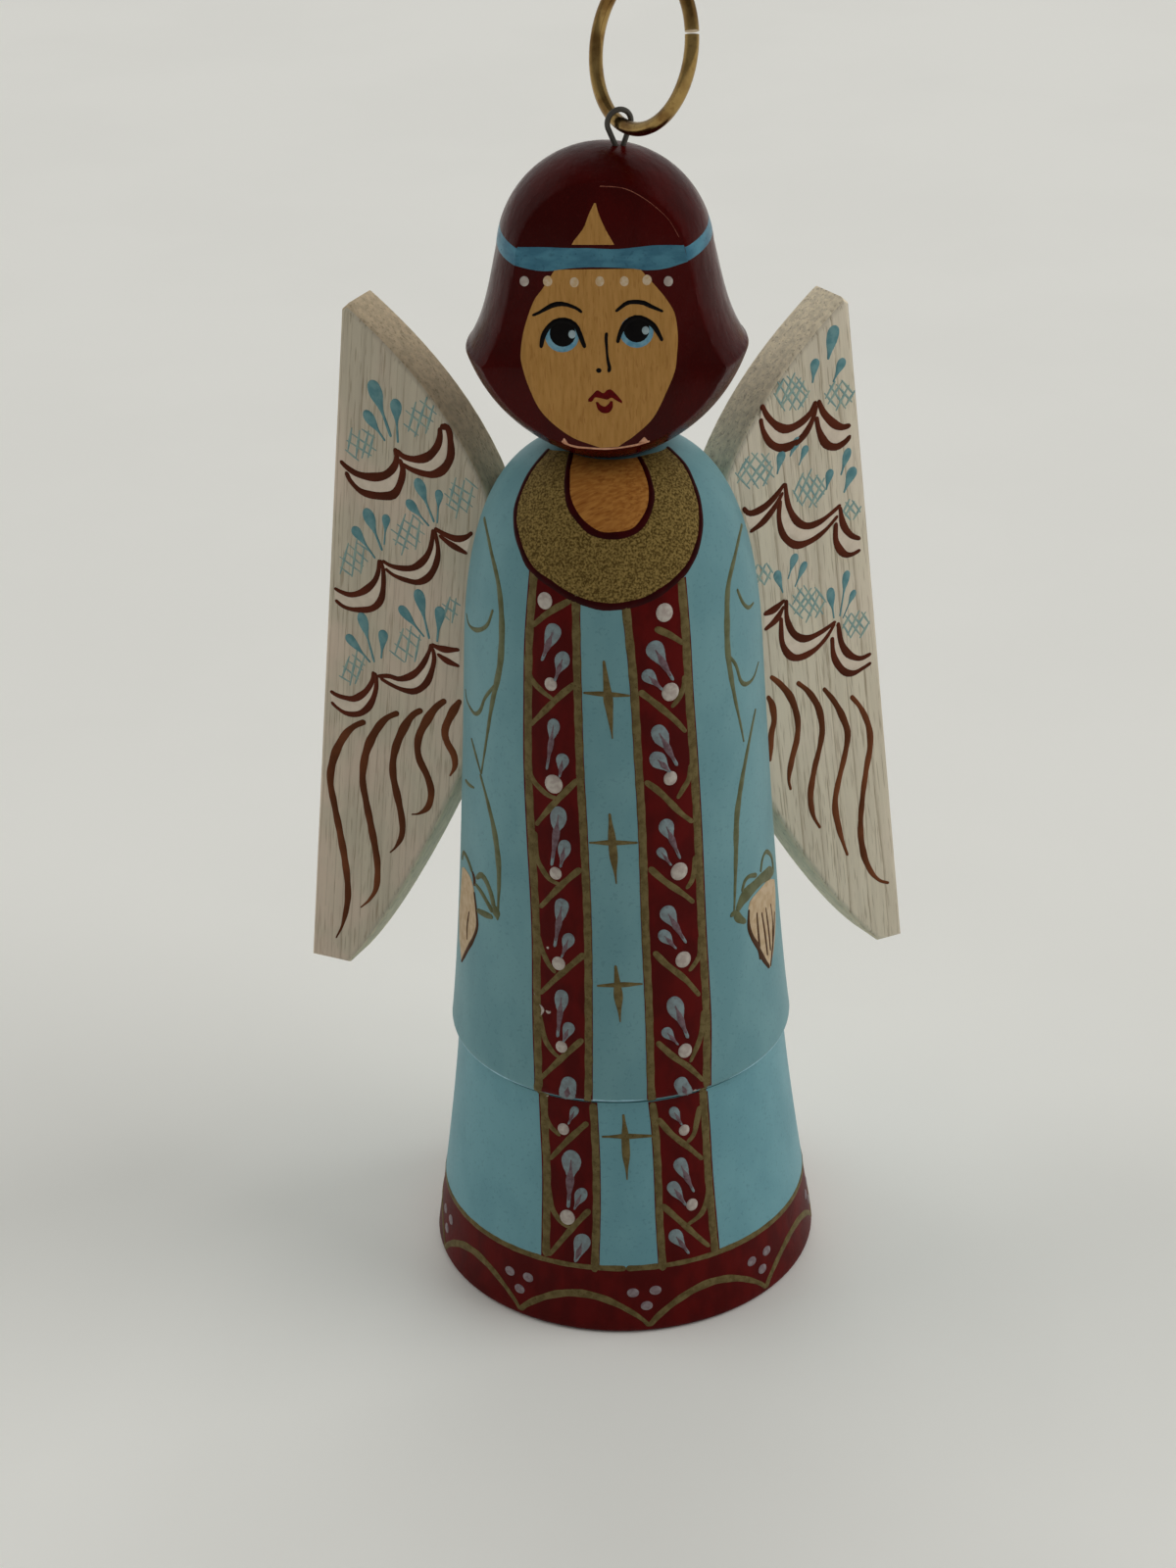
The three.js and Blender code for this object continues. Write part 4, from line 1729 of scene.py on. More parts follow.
@dataclass
class DressPainting(Painting):
    """What is painted on the robe and the skirt."""

    surface: TurnedFace
    outer_border: Pair = (1.08, 5.2)
    inner_border: Pair = (0.94, 4.6)
    border_height: float = 0.06
    line_touch: Touch = Touch((0.8, 0.8, 0.56), 0.06)
    side_widening: float = 1.7
    robe_coat: Coat = Coat(70, 10)
    turn_coat: Coat = Coat(20, 10)
    skirt_coat: Coat = Coat(28, 10)
    drop_neck: float = 2.0
    drop_height: float = 0.12
    shade_stops: Triple = (-0.05, 0.3, 0.85)
    shade_widths: Widths = (0.3, 0.85, 0.3)
    shade_height: float = 0.14
    pearl_stretch: float = 1.08
    pearl_height: float = 0.22
    chip_touch: Touch = Touch((0.2, 0.4, 0.2), 0.05)
    collar_coat: Coat = Coat(60, 14, 0.04)
    chest_coat: Coat = Coat(24, 14, 0.04)
    collar_touch: Touch = Touch((0.55, 0.85, 0.55), 0.08)
    neckline_touch: Touch = Touch((0.6, 0.85, 0.6), 0.08)
    cross_touches: tuple[Touch, Touch] = (
        Touch((0.3, 0.95, 0.15), 0.07),
        Touch((0.25, 0.65, 0.25), 0.06),
    )
    sleeve_touch: Touch = Touch((0.45, 0.95, 0.3), 0.06)
    fold_touch: Touch = Touch((0.4, 0.52, 0.25), 0.06)
    cuff_height: float = 0.08
    hand_coat: Coat = Coat(24, 6, 0.04)
    finger_height: float = 0.07
    seam_touch: Touch = Touch((0.1, 0.42, 0.3, 0.45, 0.1), 0.03)
    edge_touch: Touch = Touch((0.7, 0.7, 0.7), 0.06)
    arch_touch: Touch = Touch((0.7, 0.95, 0.5), 0.06)
    dot_touch: Touch = Touch((0.6, 0.5), 0.1)
    collar_edge: Path = (
        (560, 458), (541, 482), (528, 512), (526, 535), (532, 560), (543, 581), (564, 597),
        (587, 611), (619, 619), (654, 614), (681, 599), (702, 578), (713, 551), (715, 526),
        (711, 503), (699, 475), (681, 456),
    )
    neckline: Path = (
        (583, 462), (579, 484), (580, 510), (589, 528), (605, 543), (624, 547), (647, 542),
        (660, 526), (665, 505), (660, 482), (652, 466),
    )
    crosses: tuple[tuple[Path, Path], ...] = (
        (((616, 674), (620, 708), (625, 754)), ((595, 707), (643, 710))),
        (((622, 830), (625, 862), (629, 902)), ((601, 860), (651, 860))),
        (((628, 985), (630, 1005), (633, 1043)), ((609, 1006), (656, 1004))),
        (((636, 1137), (638, 1160), (640, 1204)), ((614, 1160), (671, 1159))),
    )
    sleeve_lines: tuple[Path, ...] = (
        (
            (494, 528), (501, 562), (509, 599), (512, 638), (510, 679), (502, 718), (495, 764),
            (491, 790),
        ),
        ((490, 790), (498, 820), (505, 852), (509, 889), (508, 937)),
        (
            (757, 535), (750, 567), (743, 599), (742, 633), (743, 668), (749, 707), (756, 741),
            (759, 757),
        ),
        (
            (771, 723), (766, 748), (760, 780), (757, 797), (752, 833), (751, 875), (750, 907),
            (749, 935),
        ),
    )
    sleeve_folds: tuple[Path, ...] = (
        ((503, 622), (497, 638), (487, 643), (479, 638), (476, 626)),
        ((505, 699), (495, 712), (490, 725), (484, 728), (477, 716), (475, 703)),
        ((752, 601), (758, 615), (764, 620), (769, 615)),
        ((743, 668), (751, 679), (756, 695), (762, 698), (769, 691), (774, 675)),
        ((481, 753), (486, 772), (491, 790)),
        ((475, 796), (479, 801), (484, 804)),
    )
    cuff_lines: tuple[tuple[Path, Widths], ...] = (
        (((486, 896), (491, 893), (496, 899), (501, 912), (504, 926)), (0.35, 0.5, 0.45)),
        (((485, 902), (491, 910), (499, 924), (503, 931)), (0.3, 0.4, 0.45)),
        (((487, 929), (495, 933), (503, 936)), (0.35, 0.5, 0.3)),
        (((504, 924), (506, 930), (508, 939)), (0.7, 0.75, 0.15)),
        (((472, 877), (473, 870), (477, 876), (482, 890)), (0.3, 0.35, 0.4)),
        (((789, 889), (779, 895), (769, 905), (759, 916), (752, 930)), (0.6, 0.95, 0.75, 1.0, 0.6)),
        (((757, 910), (760, 899), (765, 894), (772, 893)), (0.25, 0.3, 0.35)),
        (((776, 890), (778, 876), (782, 869), (787, 874), (789, 888)), (0.25, 0.3, 0.35)),
        (((745, 935), (750, 932), (754, 937), (761, 941)), (0.3, 0.65, 0.35)),
    )
    left_hand: tuple[Path, Path] = (
        (
            (474, 885), (480, 895), (484, 909), (486, 926), (487, 946), (483, 958), (478, 967),
            (472, 981),
        ),
        (
            (472, 885), (471, 900), (470, 915), (469, 930), (469, 945), (469, 957), (470, 968),
            (471, 981),
        ),
    )
    right_hand: tuple[Path, Path] = (
        ((784, 897), (773, 910), (764, 923), (765, 945), (769, 959), (774, 969), (783, 985)),
        ((790, 897), (791, 912), (791, 925), (791, 945), (790, 960), (789, 970), (786, 987)),
    )
    hand_lines: tuple[tuple[Path, Widths], ...] = (
        (((482, 889), (484, 897), (484, 904)), (0.3, 0.45, 0.3)),
        (
            ((484, 910), (486, 928), (487, 945), (483, 958), (478, 967), (471, 981)),
            (0.2, 0.3, 0.35, 0.25),
        ),
        (((479, 930), (477, 945), (477, 959)), (0.15, 0.25, 0.15)),
        (((764, 928), (764, 945), (768, 957), (774, 967), (776, 979)), (0.2, 0.35, 0.4, 0.3)),
        (((774, 967), (779, 978), (785, 987)), (0.3, 0.4, 0.3)),
        (((772, 931), (773, 945), (775, 967)), (0.15, 0.25, 0.25)),
        (((777, 931), (780, 950), (783, 975)), (0.15, 0.25, 0.25)),
        (((781, 926), (784, 948), (786, 970)), (0.15, 0.25, 0.25)),
        (((786, 922), (788, 940), (788, 962)), (0.12, 0.2, 0.2)),
        (((790, 930), (789, 955), (786, 986)), (0.15, 0.3, 0.3)),
    )
    hem_turn: float = 14.0
    hem_lap: float = 2.0
    seam_height: float = 25.8
    # Spans in degrees of the pale lower edge, which is painted highlight and worn paint.
    lit_and_worn_seams: tuple[tuple[int, int], ...] = ((-86, -30), (-16, 8), (38, 86))
    hem_height: float = 7.2
    hem_step: int = 2
    arches: int = 9
    arch_steps: int = 24
    arch_fullness: float = 0.8
    first_cusp: float = 6.5
    cusp_height: float = 0.75
    arch_height: float = 4.2
    hem_dots: tuple[tuple[float, float], ...] = ((-4.6, 4.5), (2.2, 4.6), (-0.6, 3.0))
    chips: tuple[Path, ...] = (
        ((545, 1013), (547, 1016), (550, 1019)),
        ((550, 1024), (554, 1030), (552, 1036)),
        ((557, 1031), (560, 1033), (562, 1032)),
        ((545, 970), (549, 975)),
        ((558, 966), (560, 968)),
        ((556, 1117), (560, 1118)),
        ((707, 1113), (711, 1112)),
    )

    def build(self) -> None:
        """Paints bands, collar, crosses, sleeves, hands and hem."""
        self.paint_bands()
        self.paint_collar()
        self.paint_gold()
        self.paint_hands()
        self.paint_seam()
        self.paint_hem()

    def paint_bands(self) -> None:
        """Lays the two maroon bands with their drops, pearls and chips."""
        ground = self.brush("band_ground", BAND_MAROON)
        drops = self.brush("band_drops", DROP_BLUE)
        shades = self.brush("band_drop_shades", DROP_SHADE)
        pearls = self.brush("band_pearls", PEARL_WHITE)
        rises = (self.hem_turn, self.hem_turn + self.hem_lap)
        for band in (LEFT_BAND, RIGHT_BAND):
            turn, lap = ([(x, y - rise) for x, y in band.seam] for rise in rises)
            outer, inner = (*band.outer[:-1], turn[0]), (*band.inner[:-1], turn[1])
            ground.patch(outer, inner, self.robe_coat)
            ground.patch((lap[0], band.seam[0]), (lap[1], band.seam[1]), self.turn_coat)
            ground.patch(band.skirt_outer, band.skirt_inner, self.skirt_coat)
            for drop in band.drops:
                drops.drop(drop, self.drop_neck, self.drop_height)
                start, end = Vector(drop.head), Vector(drop.tail)
                shade = tuple(tuple(start.lerp(end, share)) for share in self.shade_stops)
                widths = tuple(share * drop.radius for share in self.shade_widths)
                shades.stroke(shade, widths, self.shade_height)
            for pearl in band.pearls:
                radii = (pearl.radius, pearl.radius * self.pearl_stretch)
                pearls.dab(pearl.middle, radii, self.pearl_height)
        pearls.strokes(self.chips, self.chip_touch)
        self.finish(ground, drops, shades, pearls)

    def paint_collar(self) -> None:
        """Lays the gold collar, the chest inside it and their maroon outlines."""
        collar = self.brush("collar_gold", COLLAR_GOLD)
        collar.patch(self.collar_edge, self.neckline, self.collar_coat)
        chest = self.brush("chest_skin", CHEST_WOOD)
        middle = len(self.neckline) // 2
        halves = self.neckline[: middle + 1], self.neckline[: middle - 1 : -1]
        chest.patch(*halves, self.chest_coat)
        outline = self.brush("collar_lines", LINE_MAROON)
        outline.stroke(self.collar_edge, *self.collar_touch)
        outline.stroke(self.neckline, *self.neckline_touch)
        self.finish(collar, chest, outline)

    def paint_gold(self) -> None:
        """Draws the gold lines of bands, crosses and sleeves."""
        borders = self.brush("band_borders", OLD_GOLD)
        lines = self.brush("band_lines", OLD_GOLD)
        for band, side in ((LEFT_BAND, 1), (RIGHT_BAND, -1)):
            for edges, (width, inset), way in (
                ((band.outer, band.skirt_outer), self.outer_border, side),
                ((band.inner, band.skirt_inner), self.inner_border, -side),
            ):
                for edge in edges:
                    moved = tuple((x + way * inset, y) for x, y in edge)
                    borders.stroke(moved, (width, width), self.border_height)
            lines.strokes((*band.lines, *band.hooks), self.line_touch)
        crosses = self.brush("robe_crosses", OLD_GOLD)
        for cross in self.crosses:
            for path, touch in zip(cross, self.cross_touches):
                crosses.stroke(path, *touch)
        sleeves = self.brush("sleeve_lines", SLEEVE_OLIVE)
        sleeves.strokes(self.sleeve_lines, self.sleeve_touch)
        sleeves.strokes(self.sleeve_folds, self.fold_touch)
        for path, widths in self.cuff_lines:
            sleeves.stroke(path, self.widened(widths), self.cuff_height)
        self.finish(borders, lines, crosses, sleeves)

    def paint_hands(self) -> None:
        """Paints the hands and their finger lines."""
        hands = self.brush("hands", HAND_PEACH)
        for sides in (self.left_hand, self.right_hand):
            hands.patch(*sides, self.hand_coat)
        lines = self.brush("hand_lines", HAND_BROWN)
        for path, widths in self.hand_lines:
            lines.stroke(path, self.widened(widths), self.finger_height)
        self.finish(hands, lines)

    def widened(self, widths: Widths) -> Widths:
        """Widths for a line on the sides, where the robe turns away from the photograph."""
        return tuple(width * self.side_widening for width in widths)

    def ring(self, angles: range, height: float) -> list[Vector]:
        """Points round the dress at one height, at angles in degrees from the front."""
        return [self.surface.ring_point(angle, height) for angle in angles]

    def paint_seam(self) -> None:
        """Paints the robe's lower edge pale beside the bands: partly a painted highlight where the
        edge catches the light, partly worn paint.
        """
        lit_and_worn = self.brush("seam_wear", SEAM_BLUE)
        for angles in self.lit_and_worn_seams:
            lit_and_worn.along(self.ring(range(*angles), self.seam_height), *self.seam_touch)
        self.finish(lit_and_worn)

    def paint_hem(self) -> None:
        """Draws the hem's gold edge, its arches and the dots over their cusps, all round."""
        gold = self.brush("hem_gold", OLD_GOLD)
        gold.along(self.ring(range(0, 361, self.hem_step), self.hem_height), *self.edge_touch)
        dots = self.brush("hem_dots", DOT_LILAC)
        pitch = 360 / self.arches
        for arch in range(self.arches):
            cusp = self.first_cusp + arch * pitch
            points = []
            for step in range(self.arch_steps + 1):
                share = step / self.arch_steps
                rise = math.sin(math.pi * share) ** self.arch_fullness
                height = self.cusp_height + (self.arch_height - self.cusp_height) * rise
                points.append(self.surface.ring_point(cusp + share * pitch, height))
            gold.along(points, *self.arch_touch)
            for aside, height in self.hem_dots:
                dots.dab_at(self.surface.ring_point(cusp + aside, height), *self.dot_touch)
        self.finish(gold, dots)


@dataclass
class FacePainting(Painting):
    """What is painted on the flat face."""

    surface: FlatFace
    cheek_coat: Coat = Coat(48, 24, 0.02)
    parting_coat: Coat = Coat(12, 6, 0.02)
    corner_coat: Coat = Coat(4, 4, 0.02)
    chin_touch: Touch = Touch((0.2, 0.2), 0.03)
    crown_touch: Touch = Touch((0.08, 0.07, 0.04, 0.04), 0.02)
    headband_coat: Coat = Coat(40, 6, 0.04)
    outer_pearl: Touch = Touch((0.41, 0.46), 0.12)
    inner_pearl: Touch = Touch((0.43, 0.5), 0.05)
    upper_lip_coat: Coat = Coat(28, 4, 0.04)
    lower_lip_coat: Coat = Coat(24, 4, 0.04)
    iris_touch: Touch = Touch((1.66, 1.62), 0.05)
    pupil_touch: Touch = Touch((1.3, 1.34), 0.08)
    light_touch: Touch = Touch((0.37, 0.42), 0.13)
    brow_touch: Touch = Touch((0.34, 0.56, 0.32), 0.06)
    lid_touch: Touch = Touch((0.4, 0.55, 0.6, 0.55, 0.4), 0.1)
    nose_touch: Touch = Touch((0.36, 0.3, 0.4), 0.06)
    nostril_touch: Touch = Touch((0.26, 0.24), 0.06)
    cheek_left: Path = (
        (566, 275), (553, 295), (545, 306), (538, 324), (533, 343), (531, 363), (533, 375),
        (539, 394), (550, 417), (566, 434), (585, 447), (601, 453), (613, 457),
    )
    cheek_right: Path = (
        (653, 274), (672, 295), (680, 305), (688, 318), (691, 332), (692, 346), (691, 362),
        (689, 378), (682, 396), (667, 426), (647, 445), (638, 451), (631, 456),
    )
    parting: tuple[Path, Path] = (
        ((606, 207), (600, 220), (595, 233), (585, 246), (583, 250)),
        ((608, 207), (611, 218), (618, 234), (625, 246), (627, 250)),
    )
    headband: tuple[Path, Path] = (
        (
            (528, 252), (555, 252), (582, 253), (600, 253), (628, 254), (650, 252), (670, 250),
            (698, 250),
        ),
        (
            (525, 271), (540, 275), (558, 277), (582, 274), (610, 273), (642, 274), (660, 276),
            (680, 274), (702, 267),
        ),
    )
    outer_pearls: Path = ((535, 287), (682, 287))
    inner_pearls: Path = ((559, 287), (586, 288), (612, 287), (637, 287), (660, 286))
    brows: tuple[Path, Path] = (
        (
            (543, 322), (550, 319), (557, 315), (565, 311), (574, 310), (582, 312), (589, 315),
            (594, 319),
        ),
        (
            (628, 318), (633, 314), (640, 309), (648, 308), (657, 309), (663, 312), (670, 315),
            (677, 318),
        ),
    )
    lids: tuple[Path, Path] = (
        (
            (552, 355), (554, 344), (558, 336), (565, 329), (573, 327), (581, 328), (588, 333),
            (592, 342), (597, 355),
        ),
        (
            (630, 350), (633, 340), (637, 332), (642, 327), (649, 324), (656, 325), (663, 329),
            (669, 335), (676, 348),
        ),
    )
    irises: tuple[Pixel, Pixel] = ((573.5, 343), (649.5, 338.5))
    pupils: tuple[Pixel, Pixel] = ((574, 341), (649.5, 336.5))
    lights: tuple[Pixel, Pixel] = ((583.5, 341), (658.5, 337))
    nose: Path = (
        (619, 339), (618.5, 346), (619, 353), (619.5, 362), (621, 371), (622, 375), (621, 380),
    )
    nostril: Pixel = (611, 378)
    upper_lip: tuple[Path, Path] = (
        (
            (600, 407), (604, 403), (609, 398), (612, 399), (616, 401), (619, 398), (623, 397),
            (628, 401), (635, 409),
        ),
        (
            (600, 410), (604, 410), (607, 406), (610, 406), (615, 407), (620, 408), (624, 406),
            (629, 409), (635, 412),
        ),
    )
    lower_lip: tuple[Path, Path] = (
        (
            (607.5, 410), (609.5, 417), (613.5, 421), (618, 422), (622.5, 420.5), (625.5, 415.5),
            (625.5, 409),
        ),
        (
            (610.5, 410), (612.5, 412.5), (615, 414), (617, 414.5), (619.5, 413), (621.5, 411),
            (622.5, 409),
        ),
    )
    chin_corners: tuple[tuple[Path, Path], ...] = (
        (((575, 447), (573, 451)), ((576, 447), (581, 454))),
        (((658, 446), (662, 450.5)), ((657, 446), (651, 452))),
    )
    # A painted highlight along the lower edge of the face.
    chin_edge_highlight: Path = (
        (573, 450), (578, 453), (588, 456), (599, 457), (613, 458), (627, 457.5), (638, 456),
        (649, 454), (663, 450),
    )
    # The pale line along the face's upper edge, partly painted highlight and partly wear.
    crown_edge: Path = (
        (612, 190), (630, 191), (643, 194.5), (658, 203), (671, 213), (683, 225), (693, 242),
    )

    def build(self) -> None:
        """Paints the face from its bare wood up."""
        self.paint_skin()
        self.paint_headband()
        self.paint_features()

    def paint_skin(self) -> None:
        """Lays the bare wood of the face and its chin corners, a painted highlight along the chin's
        edge, and the pale line round the crown, which is partly painted highlight and partly wear.
        """
        skin = self.brush("face_skin", FACE_WOOD)
        skin.patch(self.cheek_left, self.cheek_right, self.cheek_coat)
        skin.patch(*self.parting, self.parting_coat)
        edges = self.brush("face_worn_edges", BARE_WOOD_AND_HIGHLIGHT)
        for corner in self.chin_corners:
            edges.patch(*corner, self.corner_coat)
        edges.stroke(self.chin_edge_highlight, *self.chin_touch)
        crown = self.brush("face_crown_line", CROWN_LINE)
        crown.stroke(self.crown_edge, *self.crown_touch)
        self.finish(skin, edges, crown)

    def paint_headband(self) -> None:
        """Lays the front of the headband and the pearls under it."""
        headband = self.brush("headband_front", HEADBAND_BLUE)
        headband.patch(*self.headband, self.headband_coat)
        outer = self.brush("face_outer_pearls", PEARL_WHITE)
        inner = self.brush("face_inner_pearls", PEARL_FAINT)
        outer.dabs(self.outer_pearls, self.outer_pearl)
        inner.dabs(self.inner_pearls, self.inner_pearl)
        self.finish(headband, outer, inner)

    def paint_features(self) -> None:
        """Paints the lips, the eyes and the black lines of the face."""
        lips = self.brush("lips", LIP_RED)
        lips.patch(*self.upper_lip, self.upper_lip_coat)
        lips.patch(*self.lower_lip, self.lower_lip_coat)
        irises = self.brush("eye_irises", EYE_BLUE)
        pupils = self.brush("eye_pupils", FACE_BLACK)
        lights = self.brush("eye_lights", EYE_LIGHT)
        irises.dabs(self.irises, self.iris_touch)
        pupils.dabs(self.pupils, self.pupil_touch)
        lights.dabs(self.lights, self.light_touch)
        lines = self.brush("face_lines", FACE_BLACK)
        lines.strokes(self.brows, self.brow_touch)
        lines.strokes(self.lids, self.lid_touch)
        lines.stroke(self.nose, *self.nose_touch)
        lines.dab(self.nostril, *self.nostril_touch)
        self.finish(lips, irises, pupils, lights, lines)


@dataclass(frozen=True)
class Hatch:
    """A patch of crossing thin strokes: its middle and its half sizes, as pixels."""

    middle: Pixel
    half: Pixel


@dataclass(frozen=True)
class WingArt:
    """What is painted on one wing, as pixels. Scallops are pairs of an upper and a lower line."""

    side: str
    scallops: tuple[Path, ...]
    feathers: tuple[Path, ...]
    drops: tuple[Drop, ...]
    hatches: tuple[Hatch, ...]
    hatch_ways: tuple[Pixel, Pixel]
    hatch_gap: float
    hatch_widths: tuple[Widths, Widths]
    scallop_widths: Widths
    feather_widths: Widths


@dataclass
class WingPainting(Painting):
    """Lays the painting of one wing on its front."""

    surface: FlatFace
    art: WingArt
    blush_coat: Coat = Coat(20, 4, 0.02)
    drop_neck: float = 2.8
    drop_height: float = 0.05
    top_widths: Widths = (0.6, 1.05, 0.7)
    top_scallops: int = 2
    line_height: float = 0.06
    hatch_height: float = 0.025
    hatch_stray: float = 1.5
    hatch_lean: float = 0.12
    hatch_ends: Pair = (0.75, 1.15)

    def brush(self, name: str, finish: Finish) -> Brush:
        """Takes up a brush for the wing."""
        return super().brush(f"{name}_{self.art.side}", finish)

    def build(self) -> None:
        """Paints the hatching, the drops, the scallops and the long feathers."""
        hatching = self.brush("wing_hatching", HATCH_BLUE)
        for hatch in self.art.hatches:
            self.cross_hatch(hatching, hatch)
        drops = self.brush("wing_drops", WING_BLUE)
        for drop in self.art.drops:
            drops.drop(drop, self.drop_neck, self.drop_height)
        blush = self.brush("wing_blush", BLUSH_WHITE)
        scallops = self.brush("wing_scallops", SCALLOP_BROWN)
        pairs = zip(self.art.scallops[::2], self.art.scallops[1::2])
        for row, pair in enumerate(pairs):
            blush.patch(*pair, self.blush_coat)
            widths = self.top_widths if row < self.top_scallops else self.art.scallop_widths
            for path in pair:
                scallops.stroke(path, widths, self.line_height)
        feathers = self.brush("wing_feathers", FEATHER_BROWN)
        for path in self.art.feathers:
            feathers.stroke(path, self.art.feather_widths, self.line_height)
        self.finish(hatching, drops, blush, scallops, feathers)

    def cross_hatch(self, brush: Brush, hatch: Hatch) -> None:
        """Crosses thin strokes over a round patch.

        Args:
            brush: The brush to draw with.
            hatch: The patch to fill.
        """
        wide, high = hatch.half
        hand = brush.hand
        for way, widths in zip(self.art.hatch_ways, self.art.hatch_widths):
            along = Vector(way).normalized()
            aside = Vector((-along.y, along.x))
            reach = math.hypot(aside.x * wide, aside.y * high)
            count = max(2, round(2 * reach / self.art.hatch_gap))
            for number in range(count):
                offset = reach * (2 * (number + 0.5) / count - 1)
                half = wide * high / reach * math.sqrt(1 - (offset / reach) ** 2)
                stray = hand.uniform(-self.hatch_stray, self.hatch_stray)
                middle = Vector(hatch.middle) + aside * (offset + stray)
                lean = along + aside * hand.uniform(-self.hatch_lean, self.hatch_lean)
                start, end = (half * hand.uniform(*self.hatch_ends) for _ in range(2))
                stops = (middle - lean * start, middle, middle + lean * end)
                brush.stroke(tuple(tuple(stop) for stop in stops), widths, self.hatch_height)


LEFT_ART = WingArt(
    side="left",
    scallops=(
        (
            (347, 470), (354, 477), (365, 484), (380, 487), (393, 485), (402, 477), (405, 467),
            (403, 457),
        ),
        (
            (353, 481), (358, 491), (368, 501), (380, 505), (393, 506), (402, 504), (408, 494),
            (411, 480), (408, 468),
        ),
        ((404, 459), (412, 466), (425, 469), (437, 466), (446, 456), (449, 446), (449, 436)),
        (
            (410, 473), (420, 479), (432, 483), (442, 484), (452, 479), (459, 468), (460, 455),
            (458, 441), (455, 436), (449, 436),
        ),
        ((341, 600), (348, 604), (358, 607), (370, 604), (381, 595), (386, 584), (387, 571)),
        (
            (342, 612), (351, 619), (363, 622), (379, 621), (388, 613), (391, 600), (391, 582),
            (388, 571),
        ),
        ((390, 572), (398, 577), (410, 580), (423, 579), (434, 570), (440, 557), (442, 540)),
        (
            (393, 580), (402, 587), (415, 592), (427, 594), (438, 588), (445, 575), (447, 560),
            (443, 540),
        ),
        ((443, 539), (455, 546), (466, 550), (476, 548), (482, 543)),
        ((448, 546), (458, 554), (468, 560), (477, 565)),
        ((337, 705), (343, 709), (352, 712), (362, 713), (373, 706), (380, 695), (381, 685)),
        (
            (338, 716), (344, 722), (354, 728), (367, 728), (377, 720), (383, 706), (384, 692),
            (382, 686),
        ),
        ((385, 690), (397, 690), (408, 693), (421, 689), (431, 679), (438, 665), (440, 657)),
        (
            (388, 692), (400, 699), (412, 704), (424, 705), (435, 697), (441, 683), (443, 670),
            (440, 657),
        ),
        ((440, 657), (447, 661), (456, 663), (469, 663)),
        ((446, 667), (456, 674), (469, 680)),
    ),
    feathers=(
        (
            (373, 736), (360, 742), (350, 753), (341, 772), (337, 795), (341, 820), (347, 850),
            (353, 885), (355, 915), (350, 942), (343, 957),
        ),
        (
            (407, 727), (393, 734), (381, 750), (373, 770), (370, 795), (374, 820), (380, 850),
            (385, 880), (384, 905), (377, 918), (368, 926),
        ),
        (
            (431, 724), (420, 731), (409, 749), (402, 770), (401, 790), (405, 810), (410, 835),
            (410, 852), (404, 864),
            (398, 870),
        ),
        (
            (455, 714), (443, 724), (430, 745), (426, 760), (428, 775), (436, 792), (440, 808),
            (437, 823), (428, 830),
            (420, 831),
        ),
        ((470, 714), (460, 730), (454, 745), (456, 757), (463, 770), (464, 782), (459, 792)),
    ),
    drops=(
        Drop((382, 397), (399, 446), 0.95), Drop((376, 425), (393, 450), 0.72),
        Drop((404, 414), (406, 452), 0.7), Drop((428, 495), (443, 533), 0.74),
        Drop((419, 515), (438, 537), 0.62), Drop((448, 505), (446, 534), 0.5),
        Drop((376, 526), (390, 562), 0.78), Drop((364, 543), (383, 570), 0.66),
        Drop((394, 530), (392, 556), 0.5), Drop((428, 609), (438, 652), 0.78),
        Drop((412, 624), (433, 650), 0.7), Drop((449, 626), (446, 655), 0.68),
        Drop((370, 632), (382, 676), 0.72), Drop((358, 653), (378, 676), 0.68),
        Drop((391, 649), (389, 672), 0.6),
    ),
    hatches=(
        Hatch((368, 453), (15, 19)), Hatch((429, 427), (14, 21)), Hatch((470, 506), (14, 22)),
        Hatch((417, 543), (14, 23)), Hatch((362, 571), (13, 24)), Hatch((459, 622), (9, 15)),
        Hatch((415, 659), (14, 20)), Hatch((359, 683), (11, 20)),
    ),
    hatch_ways=((-0.24, 0.97), (0.8, 0.6)),
    hatch_gap=8.4,
    hatch_widths=((0.18, 0.34, 0.18), (0.15, 0.27, 0.15)),
    scallop_widths=(0.5, 0.85, 0.5),
    feather_widths=(0.65, 1.05, 0.9, 1.0, 0.85, 0.2),
)
